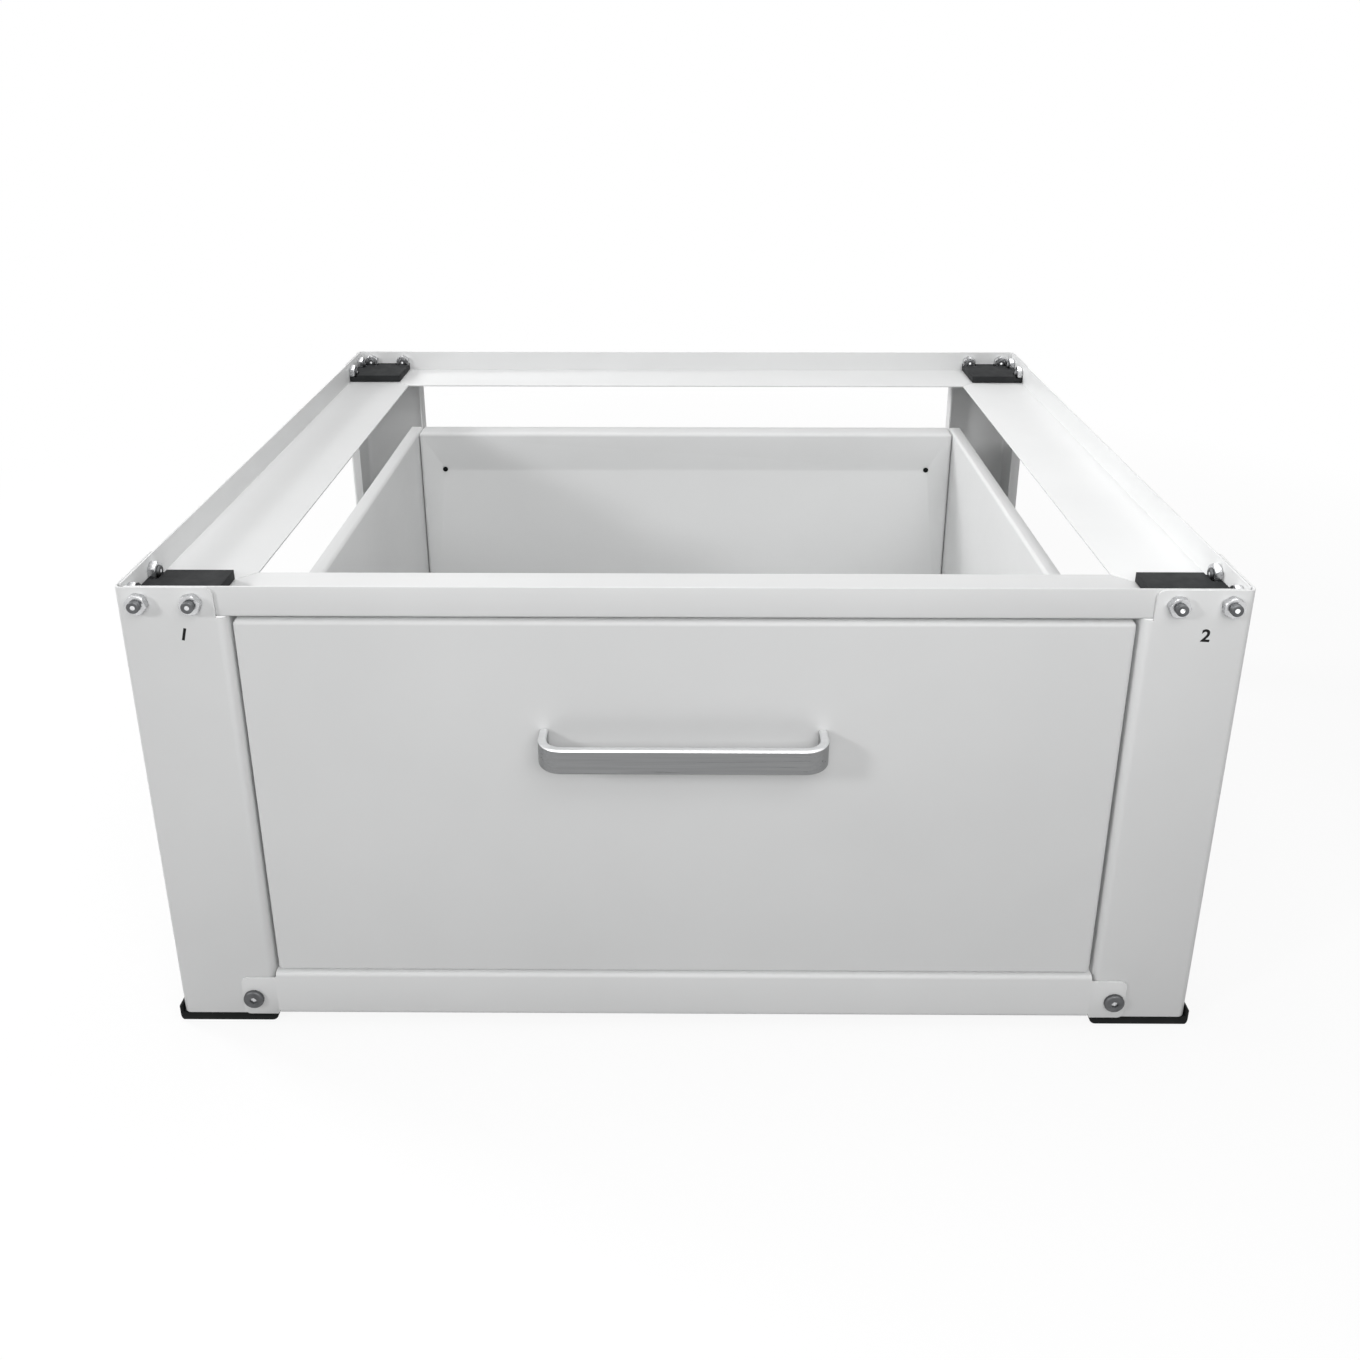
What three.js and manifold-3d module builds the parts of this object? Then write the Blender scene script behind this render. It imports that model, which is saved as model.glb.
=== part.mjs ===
// A pedestal that lifts a washing machine off the floor, with a storage drawer under it.
// Four folded sheet legs and four angle rails are bolted into a frame that is open at its sides.
// Rubber pads in the corners carry the machine, and a sheet steel drawer runs on telescopic slides.
// Millimetres. +X is the object's right, -Y its front and +Z up. Z = 0 is the floor.

import * as THREE from 'three';
import { mergeVertices } from 'three/addons/utils/BufferGeometryUtils.js';
import Module from 'manifold-3d';

// ---------------------------------------------------------------- driving dimensions

// Outside of the frame
const frameWidth = 630;
const frameDepth = 540;
const frameHeight = 300;

// Sheet and fits
const frameSheet = 1.2;
const drawerSheet = 1;
const fit = 0.3; // room left between pieces that lie on each other
const overcut = 1; // how far a cut runs past what it cuts
const foldRadius = 2.2; // at the middle of the sheet
const arcSteps = 3; // flats in each quarter turn of a small fold
const legArcSteps = 5;

// Legs
const legWeb = 61;
const legLip = 9; // on the side of the frame
const legDrawerLip = 20; // beside the drawer
const legFoldRadius = 4;
const notchCornerRadius = 5;
const notchArcSteps = 4;
const notchRoom = 0.3; // below the rail
const notchWidth = 6; // the lip's whole fold is cut away

// Top rails
const railLip = 18.5; // height of the upright lip
const railSeat = 58; // width of the flat that the machine stands over
const railFoldRadius = 1;
const railEndSetback = 5.5; // keeps the lip's end out of the leg's fold

// Bottom rails
const bottomRailHeight = 31.5;
const bottomRailFlange = 20;
const bottomRailEndRoom = 0.8; // to the leg's lip
const bottomRailLift = 0.5; // above the leg's lower edge
const tabReach = 21.5; // past the leg's lip
const tabStep = 4; // the tab is this much lower than the rail
const tabCornerRadius = 4;

// Side bars that carry the slides
const sideBarHeight = 70;
const sideBarFlange = 12;
const sideBarTab = 16;
const sideBarFoldRadius = 3.2;
const sideBarFlangeEndRoom = 1; // to the fold of the tab

// Rubber
const footThickness = 6;
const footOverhang = 2;
const footLipHeight = 5;
const footSetback = 1.5; // from the leg's inner edge
const footEndSlope = 4; // the foot's lower side is this much shorter at each end
const footChamfer = 1;
const padSize = 46;
const padThickness = 6;
const padChamfer = 1;

// Corner bolts and their nuts
const boltDiameter = 7;
const boltHoleRoom = 0.4; // all round
const boltNear = 13.2; // from the outside of the corner
const boltFar = 43;
const boltDrop = 9; // below the top edge
const boltHeadDiameter = 11;
const boltHeadHeight = 3; // inside the front rail
const lowHeadHeight = 1.6; // outside the sides and the rear
const nutAcrossFlats = 11;
const nutThickness = 4.4;
const threadBeyondNut = 1.5;
const frontThreadBeyondNut = 3; // outside the front rail
const threadChamfer = 0.8;
const roundSides = 12;
const headRim = 0.3; // upright part of a head's height, below its dome
const headSteps = 3;
const nutTurnStep = 23; // degrees that each nut on the front is turned on from the last

// Bottom rail screws
const railScrewHeadDiameter = 12.6;
const railScrewHeadHeight = 2.6;
const railScrewInset = 7.2; // from the tab's end
const railScrewRise = 13; // above the leg's lower edge

// Drawer front
const frontGapSide = 2.2;
const frontGapTop = 2;
const frontGapBottom = 0.5; // above the bottom rail
const frontDepth = 18;
const frontRadius = 2.5;
const panCornerRadius = 1; // of the flat face, inside its rounded edges
const frontRecess = 0.5; // behind the face of the legs

// Drawer box
const boxPastSlide = 38.5; // how far the box reaches behind its slides
const boxTopDrop = 51; // below the top edge of the frame
const boxLift = 4; // above the lower edge of the drawer front
const wallTopFlange = 9;
const wallTabWidth = 18;
const floorFlange = 8; // height of the floor's folded sides
const backFlange = 20;
const backRadius = 3;
const backHoleDiameter = 3.2;
const backHoleInset = 22;
const backHoleDrop = 34;

// Screws that hold the drawer front to the box
const frontScrewDiameter = 4;
const frontScrewHeadDiameter = 8;
const frontScrewHeadHeight = 2.4;
const frontScrewLength = 6;
const frontScrewDrop = 30; // from the upper and lower ends of the wall tab
const bossDiameter = 9;
const bossHeight = 6;

// Handle
const handleLength = 165;
const handleReach = 24;
const handleHeight = 15.5;
const handleThickness = 5;
const handleRadius = 14; // outside of the bend
const handleTopDrop = 88; // below the top edge of the frame
const handleSteps = 6;
const handleScrewDiameter = 3;
const handleScrewDepth = 10;
const handleScrewHeadDiameter = 6;
const handleScrewHeadHeight = 2;

// Slides
const slideLength = 400;
const slideWidth = 13.5;
const slideHeight = 45;
const slideSheet = 1.2;
const slideFoldRadius = 1.2;
const slideFoldSteps = 2;
const slideDrop = 150; // from the top edge of the frame to the middle of the slide
const slideSetback = 3; // behind the drawer front
const raceDepth = 3.8; // room for the balls between two members
const memberLipRoom = 2; // from a channel's open edge to the next member's web
const webRoom = 1.8; // between the webs of the outer and the middle member
const ballsPerRow = 4;
const ballPitch = 12;
const ballBite = 0.4; // how far a ball sits in the middle member's race
const ballSides = 6;
const ballRings = 4;

// ---------------------------------------------------------------- places worked out from them

const cornerX = frameWidth / 2;
const cornerY = frameDepth / 2;
const openingHalf = cornerX - legWeb; // to the face of the leg's lip
const railFace = frameSheet + fit; // outside of the leg to the outside of a rail's lip
const railInner = railFace + frameSheet; // outside of the leg to the inside of a rail's lip
const seatTop = frameHeight - railLip + frameSheet;
const boltHeight = frameHeight - boltDrop;
const boltHole = boltDiameter + 2 * boltHoleRoom;
const frameHoleDepth = 4 * frameSheet; // past the sheet on both sides
const drawerHoleDepth = 4 * drawerSheet;
const nutAcrossCorners = (2 * nutAcrossFlats) / Math.sqrt(3);
const clampedSheets = 2 * frameSheet + 2 * fit; // what a bolt holds together

const frontFace = -(cornerY - frontRecess);
const frontWidth = 2 * (openingHalf - frontGapSide);
const frontTop = frameHeight - railLip - frontGapTop;
const frontBottom = footThickness + bottomRailLift + bottomRailHeight + frontGapBottom;
const frontRear = frontFace + frontDepth;

const sideBarFace = openingHalf + frameSheet + fit; // inner face of the bar, behind the leg's lip
const wallOutside = sideBarFace - fit - slideWidth - fit;
const wallInside = wallOutside - drawerSheet;
const boxTop = frameHeight - boxTopDrop;
const boxBottom = frontBottom + boxLift;
const floorTop = boxBottom + floorFlange;
const tabFace = frontFace + drawerSheet + bossHeight + fit; // front of the wall tabs
const backHeight = boxTop - floorTop - fit;

const slideFront = frontRear + slideSetback;
const boxRear = slideFront + slideLength + boxPastSlide;
const slideMiddle = frameHeight - slideDrop;

const nutReach = fit + nutThickness + threadBeyondNut;
const frontNutReach = fit + nutThickness + frontThreadBeyondNut;

// The deepest reach in front is the handle and behind it is the rear bolts' heads, so the
// origin's place along Y is halfway between them.
const reachFront = cornerY - frontRecess + fit + handleReach;
const reachRear = cornerY + fit + lowHeadHeight;

// ---------------------------------------------------------------- finishes

const finish = (name, color, roughness, metalness) => {
  const material = new THREE.MeshStandardMaterial({ color, roughness, metalness });
  material.name = name;
  return material;
};
const whiteSteel = finish('white_steel', 0xe4e5e5, 0.42, 0);
const drawerSteel = finish('drawer_steel', 0xdfe0e0, 0.42, 0);
const zinc = finish('zinc_fastener', 0xb9bcc0, 0.32, 1);
const slideZinc = finish('slide_steel', 0xa9adb2, 0.38, 1);
const aluminium = finish('handle_aluminium', 0xa8abae, 0.35, 1);
const padRubber = finish('pad_rubber', 0x3b3d3e, 0.85, 0);
const footRubber = finish('foot_rubber', 0x1d1f1f, 0.8, 0);

// ---------------------------------------------------------------- solids

const wasm = await Module();
wasm.setup();

function toSolid(geometry) {
  const bare = geometry.clone();
  bare.deleteAttribute('normal');
  bare.deleteAttribute('uv');
  const merged = mergeVertices(bare);
  return new wasm.Manifold(new wasm.Mesh({
    numProp: 3,
    vertProperties: merged.attributes.position.array,
    triVerts: new Uint32Array(merged.index.array),
  }));
}

function toGeometry(solid) {
  const mesh = solid.getMesh();
  const geometry = new THREE.BufferGeometry();
  geometry.setAttribute('position', new THREE.BufferAttribute(new Float32Array(mesh.vertProperties), 3));
  geometry.setIndex(new THREE.BufferAttribute(new Uint32Array(mesh.triVerts), 1));
  geometry.computeVertexNormals();
  return geometry;
}

/** One geometry: the first shapes joined, then the others cut away. */
function carve(joined, cut = []) {
  let solid = toSolid(joined[0]);
  for (const geometry of joined.slice(1)) solid = solid.add(toSolid(geometry));
  for (const geometry of cut) solid = solid.subtract(toSolid(geometry));
  return toGeometry(solid);
}

// ---------------------------------------------------------------- shape helpers

/** A box between two corners, given in any order. */
function block(x0, x1, y0, y1, z0, z1) {
  const geometry = new THREE.BoxGeometry(Math.abs(x1 - x0), Math.abs(y1 - y0), Math.abs(z1 - z0));
  return geometry.translate((x0 + x1) / 2, (y0 + y1) / 2, (z0 + z1) / 2);
}

const extrude = (shape, length) =>
  new THREE.ExtrudeGeometry(shape, { depth: length, bevelEnabled: false, curveSegments: arcSteps });

/** A section drawn in (Y, Z), run along +X from x0. */
function alongX(shape, x0, length) {
  const toRow = new THREE.Matrix4().makeBasis(
    new THREE.Vector3(0, 1, 0),
    new THREE.Vector3(0, 0, 1),
    new THREE.Vector3(1, 0, 0),
  );
  return extrude(shape, length).applyMatrix4(toRow).translate(x0, 0, 0);
}

/** A section drawn in (X, Z), run along +Y from y0. */
function alongY(shape, y0, length) {
  const toRow = new THREE.Matrix4().makeBasis(
    new THREE.Vector3(1, 0, 0),
    new THREE.Vector3(0, 0, 1),
    new THREE.Vector3(0, -1, 0),
  );
  return extrude(shape, length).applyMatrix4(toRow).translate(0, y0 + length, 0);
}

/** A section drawn in (X, Y), run along +Z from z0. */
const alongZ = (shape, z0, length) => extrude(shape, length).translate(0, 0, z0);

/** A round bar along an axis, centred on a point. */
function rod(axis, diameter, length, x, y, z) {
  const geometry = new THREE.CylinderGeometry(diameter / 2, diameter / 2, length, roundSides);
  if (axis === 'x') geometry.rotateZ(Math.PI / 2);
  if (axis === 'z') geometry.rotateX(Math.PI / 2);
  return geometry.translate(x, y, z);
}

/**
 * The section of a folded sheet. The corners are the sharp corners of the middle of the sheet,
 * and each one between the two ends is rounded to the fold's radius.
 */
function foldedSheet(corners, thickness, radius, steps = arcSteps) {
  const points = corners.map(([x, y]) => new THREE.Vector2(x, y));
  const direction = (from, to) => to.clone().sub(from).normalize();
  const leftOf = (along) => new THREE.Vector2(-along.y, along.x);
  const stations = [{ at: points[0], left: leftOf(direction(points[0], points[1])) }];
  for (let i = 1; i < points.length - 1; i += 1) {
    const before = direction(points[i - 1], points[i]);
    const after = direction(points[i], points[i + 1]);
    const turn = Math.atan2(before.cross(after), before.dot(after));
    const setback = radius * Math.tan(Math.abs(turn) / 2);
    const start = points[i].clone().addScaledVector(before, -setback);
    const side = Math.sign(turn);
    const centre = start.clone().addScaledVector(leftOf(before), side * radius);
    for (let step = 0; step <= steps; step += 1) {
      const left = leftOf(before).rotateAround(new THREE.Vector2(), (turn * step) / steps);
      stations.push({ at: centre.clone().addScaledVector(left, -side * radius), left });
    }
  }
  const last = points.length - 1;
  stations.push({ at: points[last], left: leftOf(direction(points[last - 1], points[last])) });
  const face = (offset) => stations.map(({ at, left }) => at.clone().addScaledVector(left, offset));
  return new THREE.Shape([...face(thickness / 2), ...face(-thickness / 2).reverse()]);
}

/** A rectangle with rounded corners, in the plane that its extrusion starts from. */
function roundedRectangle(x0, x1, y0, y1, radius) {
  const shape = new THREE.Shape();
  shape.moveTo(x0 + radius, y0);
  shape.lineTo(x1 - radius, y0);
  shape.absarc(x1 - radius, y0 + radius, radius, -Math.PI / 2, 0);
  shape.lineTo(x1, y1 - radius);
  shape.absarc(x1 - radius, y1 - radius, radius, 0, Math.PI / 2);
  shape.lineTo(x0 + radius, y1);
  shape.absarc(x0 + radius, y1 - radius, radius, Math.PI / 2, Math.PI);
  shape.lineTo(x0, y0 + radius);
  shape.absarc(x0 + radius, y0 + radius, radius, Math.PI, 1.5 * Math.PI);
  return shape;
}

/** A slab whose front is at y0, with its front edges and its four corners rounded. */
function softSlab(x0, x1, z0, z1, y0, depth, radius) {
  const rounded = new THREE.ExtrudeGeometry(roundedRectangle(x0, x1, z0, z1, radius + panCornerRadius), {
    depth,
    bevelThickness: radius,
    bevelSize: radius,
    bevelOffset: -radius,
    bevelSegments: arcSteps,
    curveSegments: arcSteps,
  });
  rounded.rotateX(Math.PI / 2); // drawn (X, Z), thickness now along -Y
  return rounded.translate(0, y0 + depth + radius, 0);
}

/** A sheet pan: a flat face at y0 with its four sides folded back by the depth. */
function pan(x0, x1, z0, z1, y0, depth, sheet, radius) {
  const outside = softSlab(x0, x1, z0, z1, y0, depth + radius, radius);
  const inside = softSlab(
    x0 + sheet,
    x1 - sheet,
    z0 + sheet,
    z1 - sheet,
    y0 + sheet,
    depth + 2 * radius,
    radius - sheet,
  );
  const behind = block(
    x0 - overcut,
    x1 + overcut,
    y0 + depth,
    y0 + depth + 4 * radius,
    z0 - overcut,
    z1 + overcut,
  );
  return { outside, cuts: [inside, behind] };
}

function piece(name, geometry, material) {
  const mesh = new THREE.Mesh(geometry, material);
  mesh.name = name;
  return mesh;
}

// ---------------------------------------------------------------- the four corners

const corners = [
  { name: 'front_left', x: -1, y: -1 },
  { name: 'front_right', x: 1, y: -1 },
  { name: 'rear_left', x: -1, y: 1 },
  { name: 'rear_right', x: 1, y: 1 },
];
const sides = [
  { name: 'left', x: -1 },
  { name: 'right', x: 1 },
];
const ends = [
  { name: 'front', y: -1 },
  { name: 'rear', y: 1 },
];

const railScrewX = openingHalf + tabReach - railScrewInset;
const railScrewHeight = footThickness + railScrewRise;

/** A leg: an L of sheet with a lip on each free edge, notched where the top rails pass it. */
function leg({ x: sx, y: sy }) {
  const at = (u, v) => [sx * (cornerX - u), sy * (cornerY - v)];
  const half = frameSheet / 2;
  const section = foldedSheet(
    [
      at(legWeb - half, legDrawerLip),
      at(legWeb - half, half),
      at(half, half),
      at(half, legWeb - half),
      at(legLip, legWeb - half),
    ],
    frameSheet,
    legFoldRadius,
    legArcSteps,
  );
  const post = alongZ(section, footThickness, frameHeight - footThickness);
  const base = block(
    ...[legFoldRadius, legWeb - legFoldRadius].map((u) => sx * (cornerX - u)),
    ...[half, legWeb - legFoldRadius].map((v) => sy * (cornerY - v)),
    footThickness,
    footThickness + frameSheet,
  );

  const notchBottom = frameHeight - railLip - notchRoom;
  const notchEdge = legWeb - notchWidth;
  const notch = (place) => {
    const shape = new THREE.Shape();
    shape.moveTo(place(legWeb + overcut), notchBottom);
    shape.lineTo(place(notchEdge), notchBottom);
    shape.lineTo(place(notchEdge), frameHeight - notchCornerRadius);
    for (let step = 1; step <= notchArcSteps; step += 1) {
      const angle = ((Math.PI / 2) * step) / notchArcSteps;
      const u = notchEdge - notchCornerRadius * (1 - Math.cos(angle));
      shape.lineTo(place(u), frameHeight - notchCornerRadius * (1 - Math.sin(angle)));
    }
    shape.lineTo(place(notchEdge - notchCornerRadius), frameHeight + overcut);
    shape.lineTo(place(legWeb + overcut), frameHeight + overcut);
    return shape;
  };
  const drawerReach = legDrawerLip + overcut;
  const drawerNotch = alongY(
    notch((u) => sx * (cornerX - u)),
    Math.min(sy * (cornerY + overcut), sy * (cornerY - drawerReach)),
    drawerReach + overcut,
  );
  const sideReach = legLip + overcut;
  const sideNotch = alongX(
    notch((v) => sy * (cornerY - v)),
    Math.min(sx * (cornerX + overcut), sx * (cornerX - sideReach)),
    sideReach + overcut,
  );

  const inside = { x: sx * (cornerX - frameSheet), y: sy * (cornerY - frameSheet) };
  const holes = [boltNear, boltFar].flatMap((u) => [
    rod('y', boltHole, frameHoleDepth, sx * (cornerX - u), inside.y, boltHeight),
    rod('x', boltHole, frameHoleDepth, inside.x, sy * (cornerY - u), boltHeight),
  ]);
  holes.push(rod('y', boltHole, frameHoleDepth, sx * railScrewX, inside.y, railScrewHeight));
  return carve([post, base], [drawerNotch, sideNotch, ...holes]);
}

/** A rubber foot: a plate under the leg that narrows downwards, with a lip up the leg's side. */
function foot({ x: sx, y: sy }) {
  const outer = footOverhang + fit;
  const inner = legWeb - footSetback;
  const section = new THREE.Shape(
    [
      [outer, footThickness + footLipHeight],
      [fit, footThickness + footLipHeight],
      [fit, footThickness - fit],
      [-inner, footThickness - fit],
      [footEndSlope - inner, 0],
      [outer - footEndSlope, 0],
      [outer, footEndSlope],
    ].map(([u, z]) => new THREE.Vector2(sx * (cornerX + u), z)),
  );
  const depth = inner - 2 * footChamfer;
  const plate = new THREE.ExtrudeGeometry(section, {
    depth,
    bevelThickness: footChamfer,
    bevelSize: footChamfer / 2,
    bevelOffset: -footChamfer / 2,
    bevelSegments: 1,
  });
  plate.rotateX(Math.PI / 2); // drawn (X, Z), thickness now along -Y
  plate.translate(0, sy * (cornerY - inner / 2) + depth / 2, 0);
  return carve([plate]);
}

/** A rubber pad in the corner of the seat, cut away round the bolt heads and nuts beside it. */
function pad({ x: sx, y: sy }) {
  const start = railInner + fit;
  const end = start + padSize;
  const notch = railInner + nutReach + fit;
  const plan = new THREE.Shape(
    [
      [start, notch],
      [notch, notch],
      [notch, start],
      [end, start],
      [end, end],
      [start, end],
    ].map(([u, v]) => new THREE.Vector2(sx * (cornerX - u), sy * (cornerY - v))),
  );
  const body = new THREE.ExtrudeGeometry(plan, {
    depth: padThickness - 2 * padChamfer,
    bevelThickness: padChamfer,
    bevelSize: padChamfer,
    bevelOffset: -padChamfer,
    bevelSegments: 1,
  }).translate(0, 0, seatTop + fit + padChamfer);
  const headPocket = { diameter: boltHeadDiameter + 4 * fit, depth: 2 * (boltHeadHeight + fit) };
  const nutPocket = { diameter: nutAcrossCorners + 4 * fit, depth: 2 * (nutReach + fit) };
  const endPocket = sy < 0 ? headPocket : nutPocket;
  const lipX = sx * (cornerX - railInner);
  const lipY = sy * (cornerY - railInner);
  const pockets = [boltNear, boltFar].flatMap((u) => [
    rod('y', endPocket.diameter, endPocket.depth, sx * (cornerX - u), lipY, boltHeight),
    rod('x', nutPocket.diameter, nutPocket.depth, lipX, sy * (cornerY - u), boltHeight),
  ]);
  return carve([body], pockets);
}

// ---------------------------------------------------------------- rails

/** The wedge that mitres a seat at one corner. It covers the seat of the rail that crosses it. */
function mitreWedge(corner, along) {
  const far = railFace + railSeat + overcut;
  const place = (run, across) =>
    along === 'x'
      ? new THREE.Vector2(corner.x * (cornerX - run), corner.y * (cornerY - across))
      : new THREE.Vector2(corner.x * (cornerX - across), corner.y * (cornerY - run));
  const start = railInner + fit;
  const wedge = new THREE.Shape([
    place(-overcut, start),
    place(start + fit, start),
    place(far + fit, far),
    place(-overcut, far),
  ]);
  return alongZ(wedge, frameHeight - railLip - overcut, railLip);
}

/** An angle rail: an upright lip against the legs and a flat seat turned inwards. */
function topRail(along, sign) {
  const half = frameSheet / 2;
  const acrossCorner = along === 'x' ? cornerY : cornerX;
  const runCorner = along === 'x' ? cornerX : cornerY;
  const at = (inwards, z) => [sign * (acrossCorner - railFace - inwards), z];
  const seatLevel = frameHeight - railLip + half;
  const section = foldedSheet(
    [at(half, frameHeight), at(half, seatLevel), at(railSeat, seatLevel)],
    frameSheet,
    railFoldRadius,
  );
  const reach = runCorner - railEndSetback;
  const angle = along === 'x' ? alongX(section, -reach, 2 * reach) : alongY(section, -reach, 2 * reach);
  const touched = corners.filter((corner) => (along === 'x' ? corner.y : corner.x) === sign);
  const wedges = touched.map((corner) => mitreWedge(corner, along));
  const lip = sign * (acrossCorner - railFace - half);
  const holes = touched.flatMap((corner) => [boltNear, boltFar].map((u) =>
    along === 'x'
      ? rod('y', boltHole, frameHoleDepth, corner.x * (cornerX - u), lip, boltHeight)
      : rod('x', boltHole, frameHoleDepth, lip, corner.y * (cornerY - u), boltHeight)));
  return carve([angle], [...wedges, ...holes]);
}

/** The front bottom rail: a channel between the legs, with a tab over each leg's face. */
function bottomRail() {
  const half = frameSheet / 2;
  const face = -(cornerY + fit + half);
  const low = footThickness + bottomRailLift;
  const high = low + bottomRailHeight;
  const inner = face + bottomRailFlange;
  const section = foldedSheet(
    [[inner, high - half], [face, high - half], [face, low + half], [inner, low + half]],
    frameSheet,
    foldRadius,
  );
  const reach = openingHalf - bottomRailEndRoom;
  const channel = alongX(section, -reach, 2 * reach);
  const bend = foldRadius + half;
  const tabTop = high - tabStep;
  const tip = openingHalf + tabReach;
  const outline = (side) => {
    const shape = new THREE.Shape();
    const root = reach - tabStep;
    shape.moveTo(side * root, low + bend);
    shape.lineTo(side * reach, low + bend);
    shape.lineTo(side * reach, low);
    shape.lineTo(side * (tip - tabCornerRadius), low);
    shape.lineTo(side * tip, low + tabCornerRadius);
    shape.lineTo(side * tip, tabTop - tabCornerRadius);
    shape.lineTo(side * (tip - tabCornerRadius), tabTop);
    shape.lineTo(side * reach, tabTop);
    shape.lineTo(side * root, high - bend);
    return shape;
  };
  const tabs = sides.map(({ x }) => alongY(outline(x), face - half, frameSheet));
  const holes = sides.map(({ x }) =>
    rod('y', boltHole, frameHoleDepth, x * railScrewX, face, railScrewHeight));
  return carve([channel, ...tabs], holes);
}

/** A bar from the front leg to the rear leg: a tab at each end, and a flange above and below. */
function sideBar({ x: sx }) {
  const half = frameSheet / 2;
  const wall = sideBarFace + half;
  const endY = cornerY - frameSheet - fit - half;
  const section = foldedSheet(
    [
      [sx * (wall + sideBarTab), -endY],
      [sx * wall, -endY],
      [sx * wall, endY],
      [sx * (wall + sideBarTab), endY],
    ],
    frameSheet,
    sideBarFoldRadius,
  );
  const low = slideMiddle - sideBarHeight / 2;
  const high = slideMiddle + sideBarHeight / 2;
  const strap = alongZ(section, low, sideBarHeight);
  const flangeEnd = endY - sideBarFoldRadius - sideBarFlangeEndRoom;
  const flange = (z) =>
    block(sx * wall, sx * (wall + sideBarFlange), -flangeEnd, flangeEnd, z, z + frameSheet);
  return carve([strap, flange(low), flange(high - frameSheet)]);
}

// ---------------------------------------------------------------- fasteners

/** Half the section of a domed head, from its axis to its rim. It stands on Y = under, towards -Y. */
function domedHead(diameter, height, under) {
  const points = [[0, under - height]];
  for (let step = 1; step <= headSteps; step += 1) {
    const angle = ((Math.PI / 2) * step) / headSteps;
    const rise = headRim + (1 - headRim) * Math.cos(angle);
    points.push([(diameter / 2) * Math.sin(angle), under - height * rise]);
  }
  return [...points, [diameter / 2, under]];
}

const lathe = (profile) =>
  new THREE.LatheGeometry(profile.map(([r, y]) => new THREE.Vector2(r, y)), roundSides);

/**
 * A bolt with its nut, along +Y. Y = 0 is the face under the nut, the thread ends at the tip,
 * and the head is behind the sheets that the two hold together.
 */
function boltAndNut(headDiameter, headHeight, tip) {
  const radius = boltDiameter / 2;
  const bolt = lathe([
    ...domedHead(headDiameter, headHeight, -clampedSheets),
    [radius, -clampedSheets],
    [radius, tip - threadChamfer],
    [radius - threadChamfer, tip],
    [0, tip],
  ]);
  const nut = new THREE.CylinderGeometry(nutAcrossCorners / 2, nutAcrossCorners / 2, nutThickness, 6);
  return carve([bolt, nut.translate(0, fit + nutThickness / 2, 0)]);
}

/** A pan head screw along +Y. Y = 0 is the face under its head, and the shank goes to +Y. */
function panScrew(diameter, length, headDiameter, headHeight) {
  return carve([
    lathe([
      ...domedHead(headDiameter, headHeight, 0),
      [diameter / 2, 0],
      [diameter / 2, length],
      [0, length],
    ]),
  ]);
}

const alongPlusY = new THREE.Vector3(0, 1, 0);

/** Places a fastener's +Y along a direction, turned about itself. */
function aim(mesh, point, direction, turn = 0) {
  mesh.position.copy(point);
  mesh.quaternion.setFromUnitVectors(alongPlusY, direction);
  mesh.rotateY(THREE.MathUtils.degToRad(turn));
  return mesh;
}

// ---------------------------------------------------------------- slides

const channelDepth = slideWidth - memberLipRoom;
const middleHeight = slideHeight - 2 * (slideSheet + raceDepth);
const innerHeight = middleHeight - 2 * (slideSheet + raceDepth);
const middleWeb = slideSheet + webRoom; // from the back of the slide to the middle member

/** The section of a channel: q runs from the side bar to the drawer, and the web is at qWeb. */
function channel(sx, qWeb, qEdge, height) {
  const half = slideSheet / 2;
  const toward = Math.sign(qEdge - qWeb);
  const at = (q, z) => [sx * (sideBarFace - fit - q), slideMiddle + z];
  const level = height / 2 - half;
  return foldedSheet(
    [
      at(qEdge, level),
      at(qWeb + toward * half, level),
      at(qWeb + toward * half, -level),
      at(qEdge, -level),
    ],
    slideSheet,
    slideFoldRadius,
    slideFoldSteps,
  );
}

const outerMember = ({ x }) =>
  carve([alongY(channel(x, 0, channelDepth, slideHeight), slideFront, slideLength)]);

function innerMember({ x }) {
  const edge = middleWeb + slideSheet + webRoom;
  return carve([alongY(channel(x, slideWidth, edge, innerHeight), slideFront, slideLength)]);
}

/** The middle member, with its balls. The outer rows ride at its rear and the inner rows in front. */
function middleMember({ x: sx }) {
  const body = alongY(channel(sx, middleWeb, channelDepth, middleHeight), slideFront, slideLength);
  const radius = (raceDepth + ballBite - fit) / 2;
  const q = (middleWeb + slideSheet + channelDepth) / 2;
  const ballX = sx * (sideBarFace - fit - q);
  const balls = [];
  for (const up of [-1, 1]) {
    for (let i = 0; i < ballsPerRow; i += 1) {
      const fromEnd = ballPitch * (i + 1);
      const outerZ = slideMiddle + up * (middleHeight / 2 - ballBite + radius);
      const innerZ = slideMiddle + up * (middleHeight / 2 - slideSheet + ballBite - radius);
      balls.push([slideFront + slideLength - fromEnd, outerZ], [slideFront + fromEnd, innerZ]);
    }
  }
  const rolling = balls.map(([y, z]) =>
    new THREE.SphereGeometry(radius, ballSides, ballRings).translate(ballX, y, z));
  return carve([body, ...rolling]);
}

// ---------------------------------------------------------------- drawer

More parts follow.
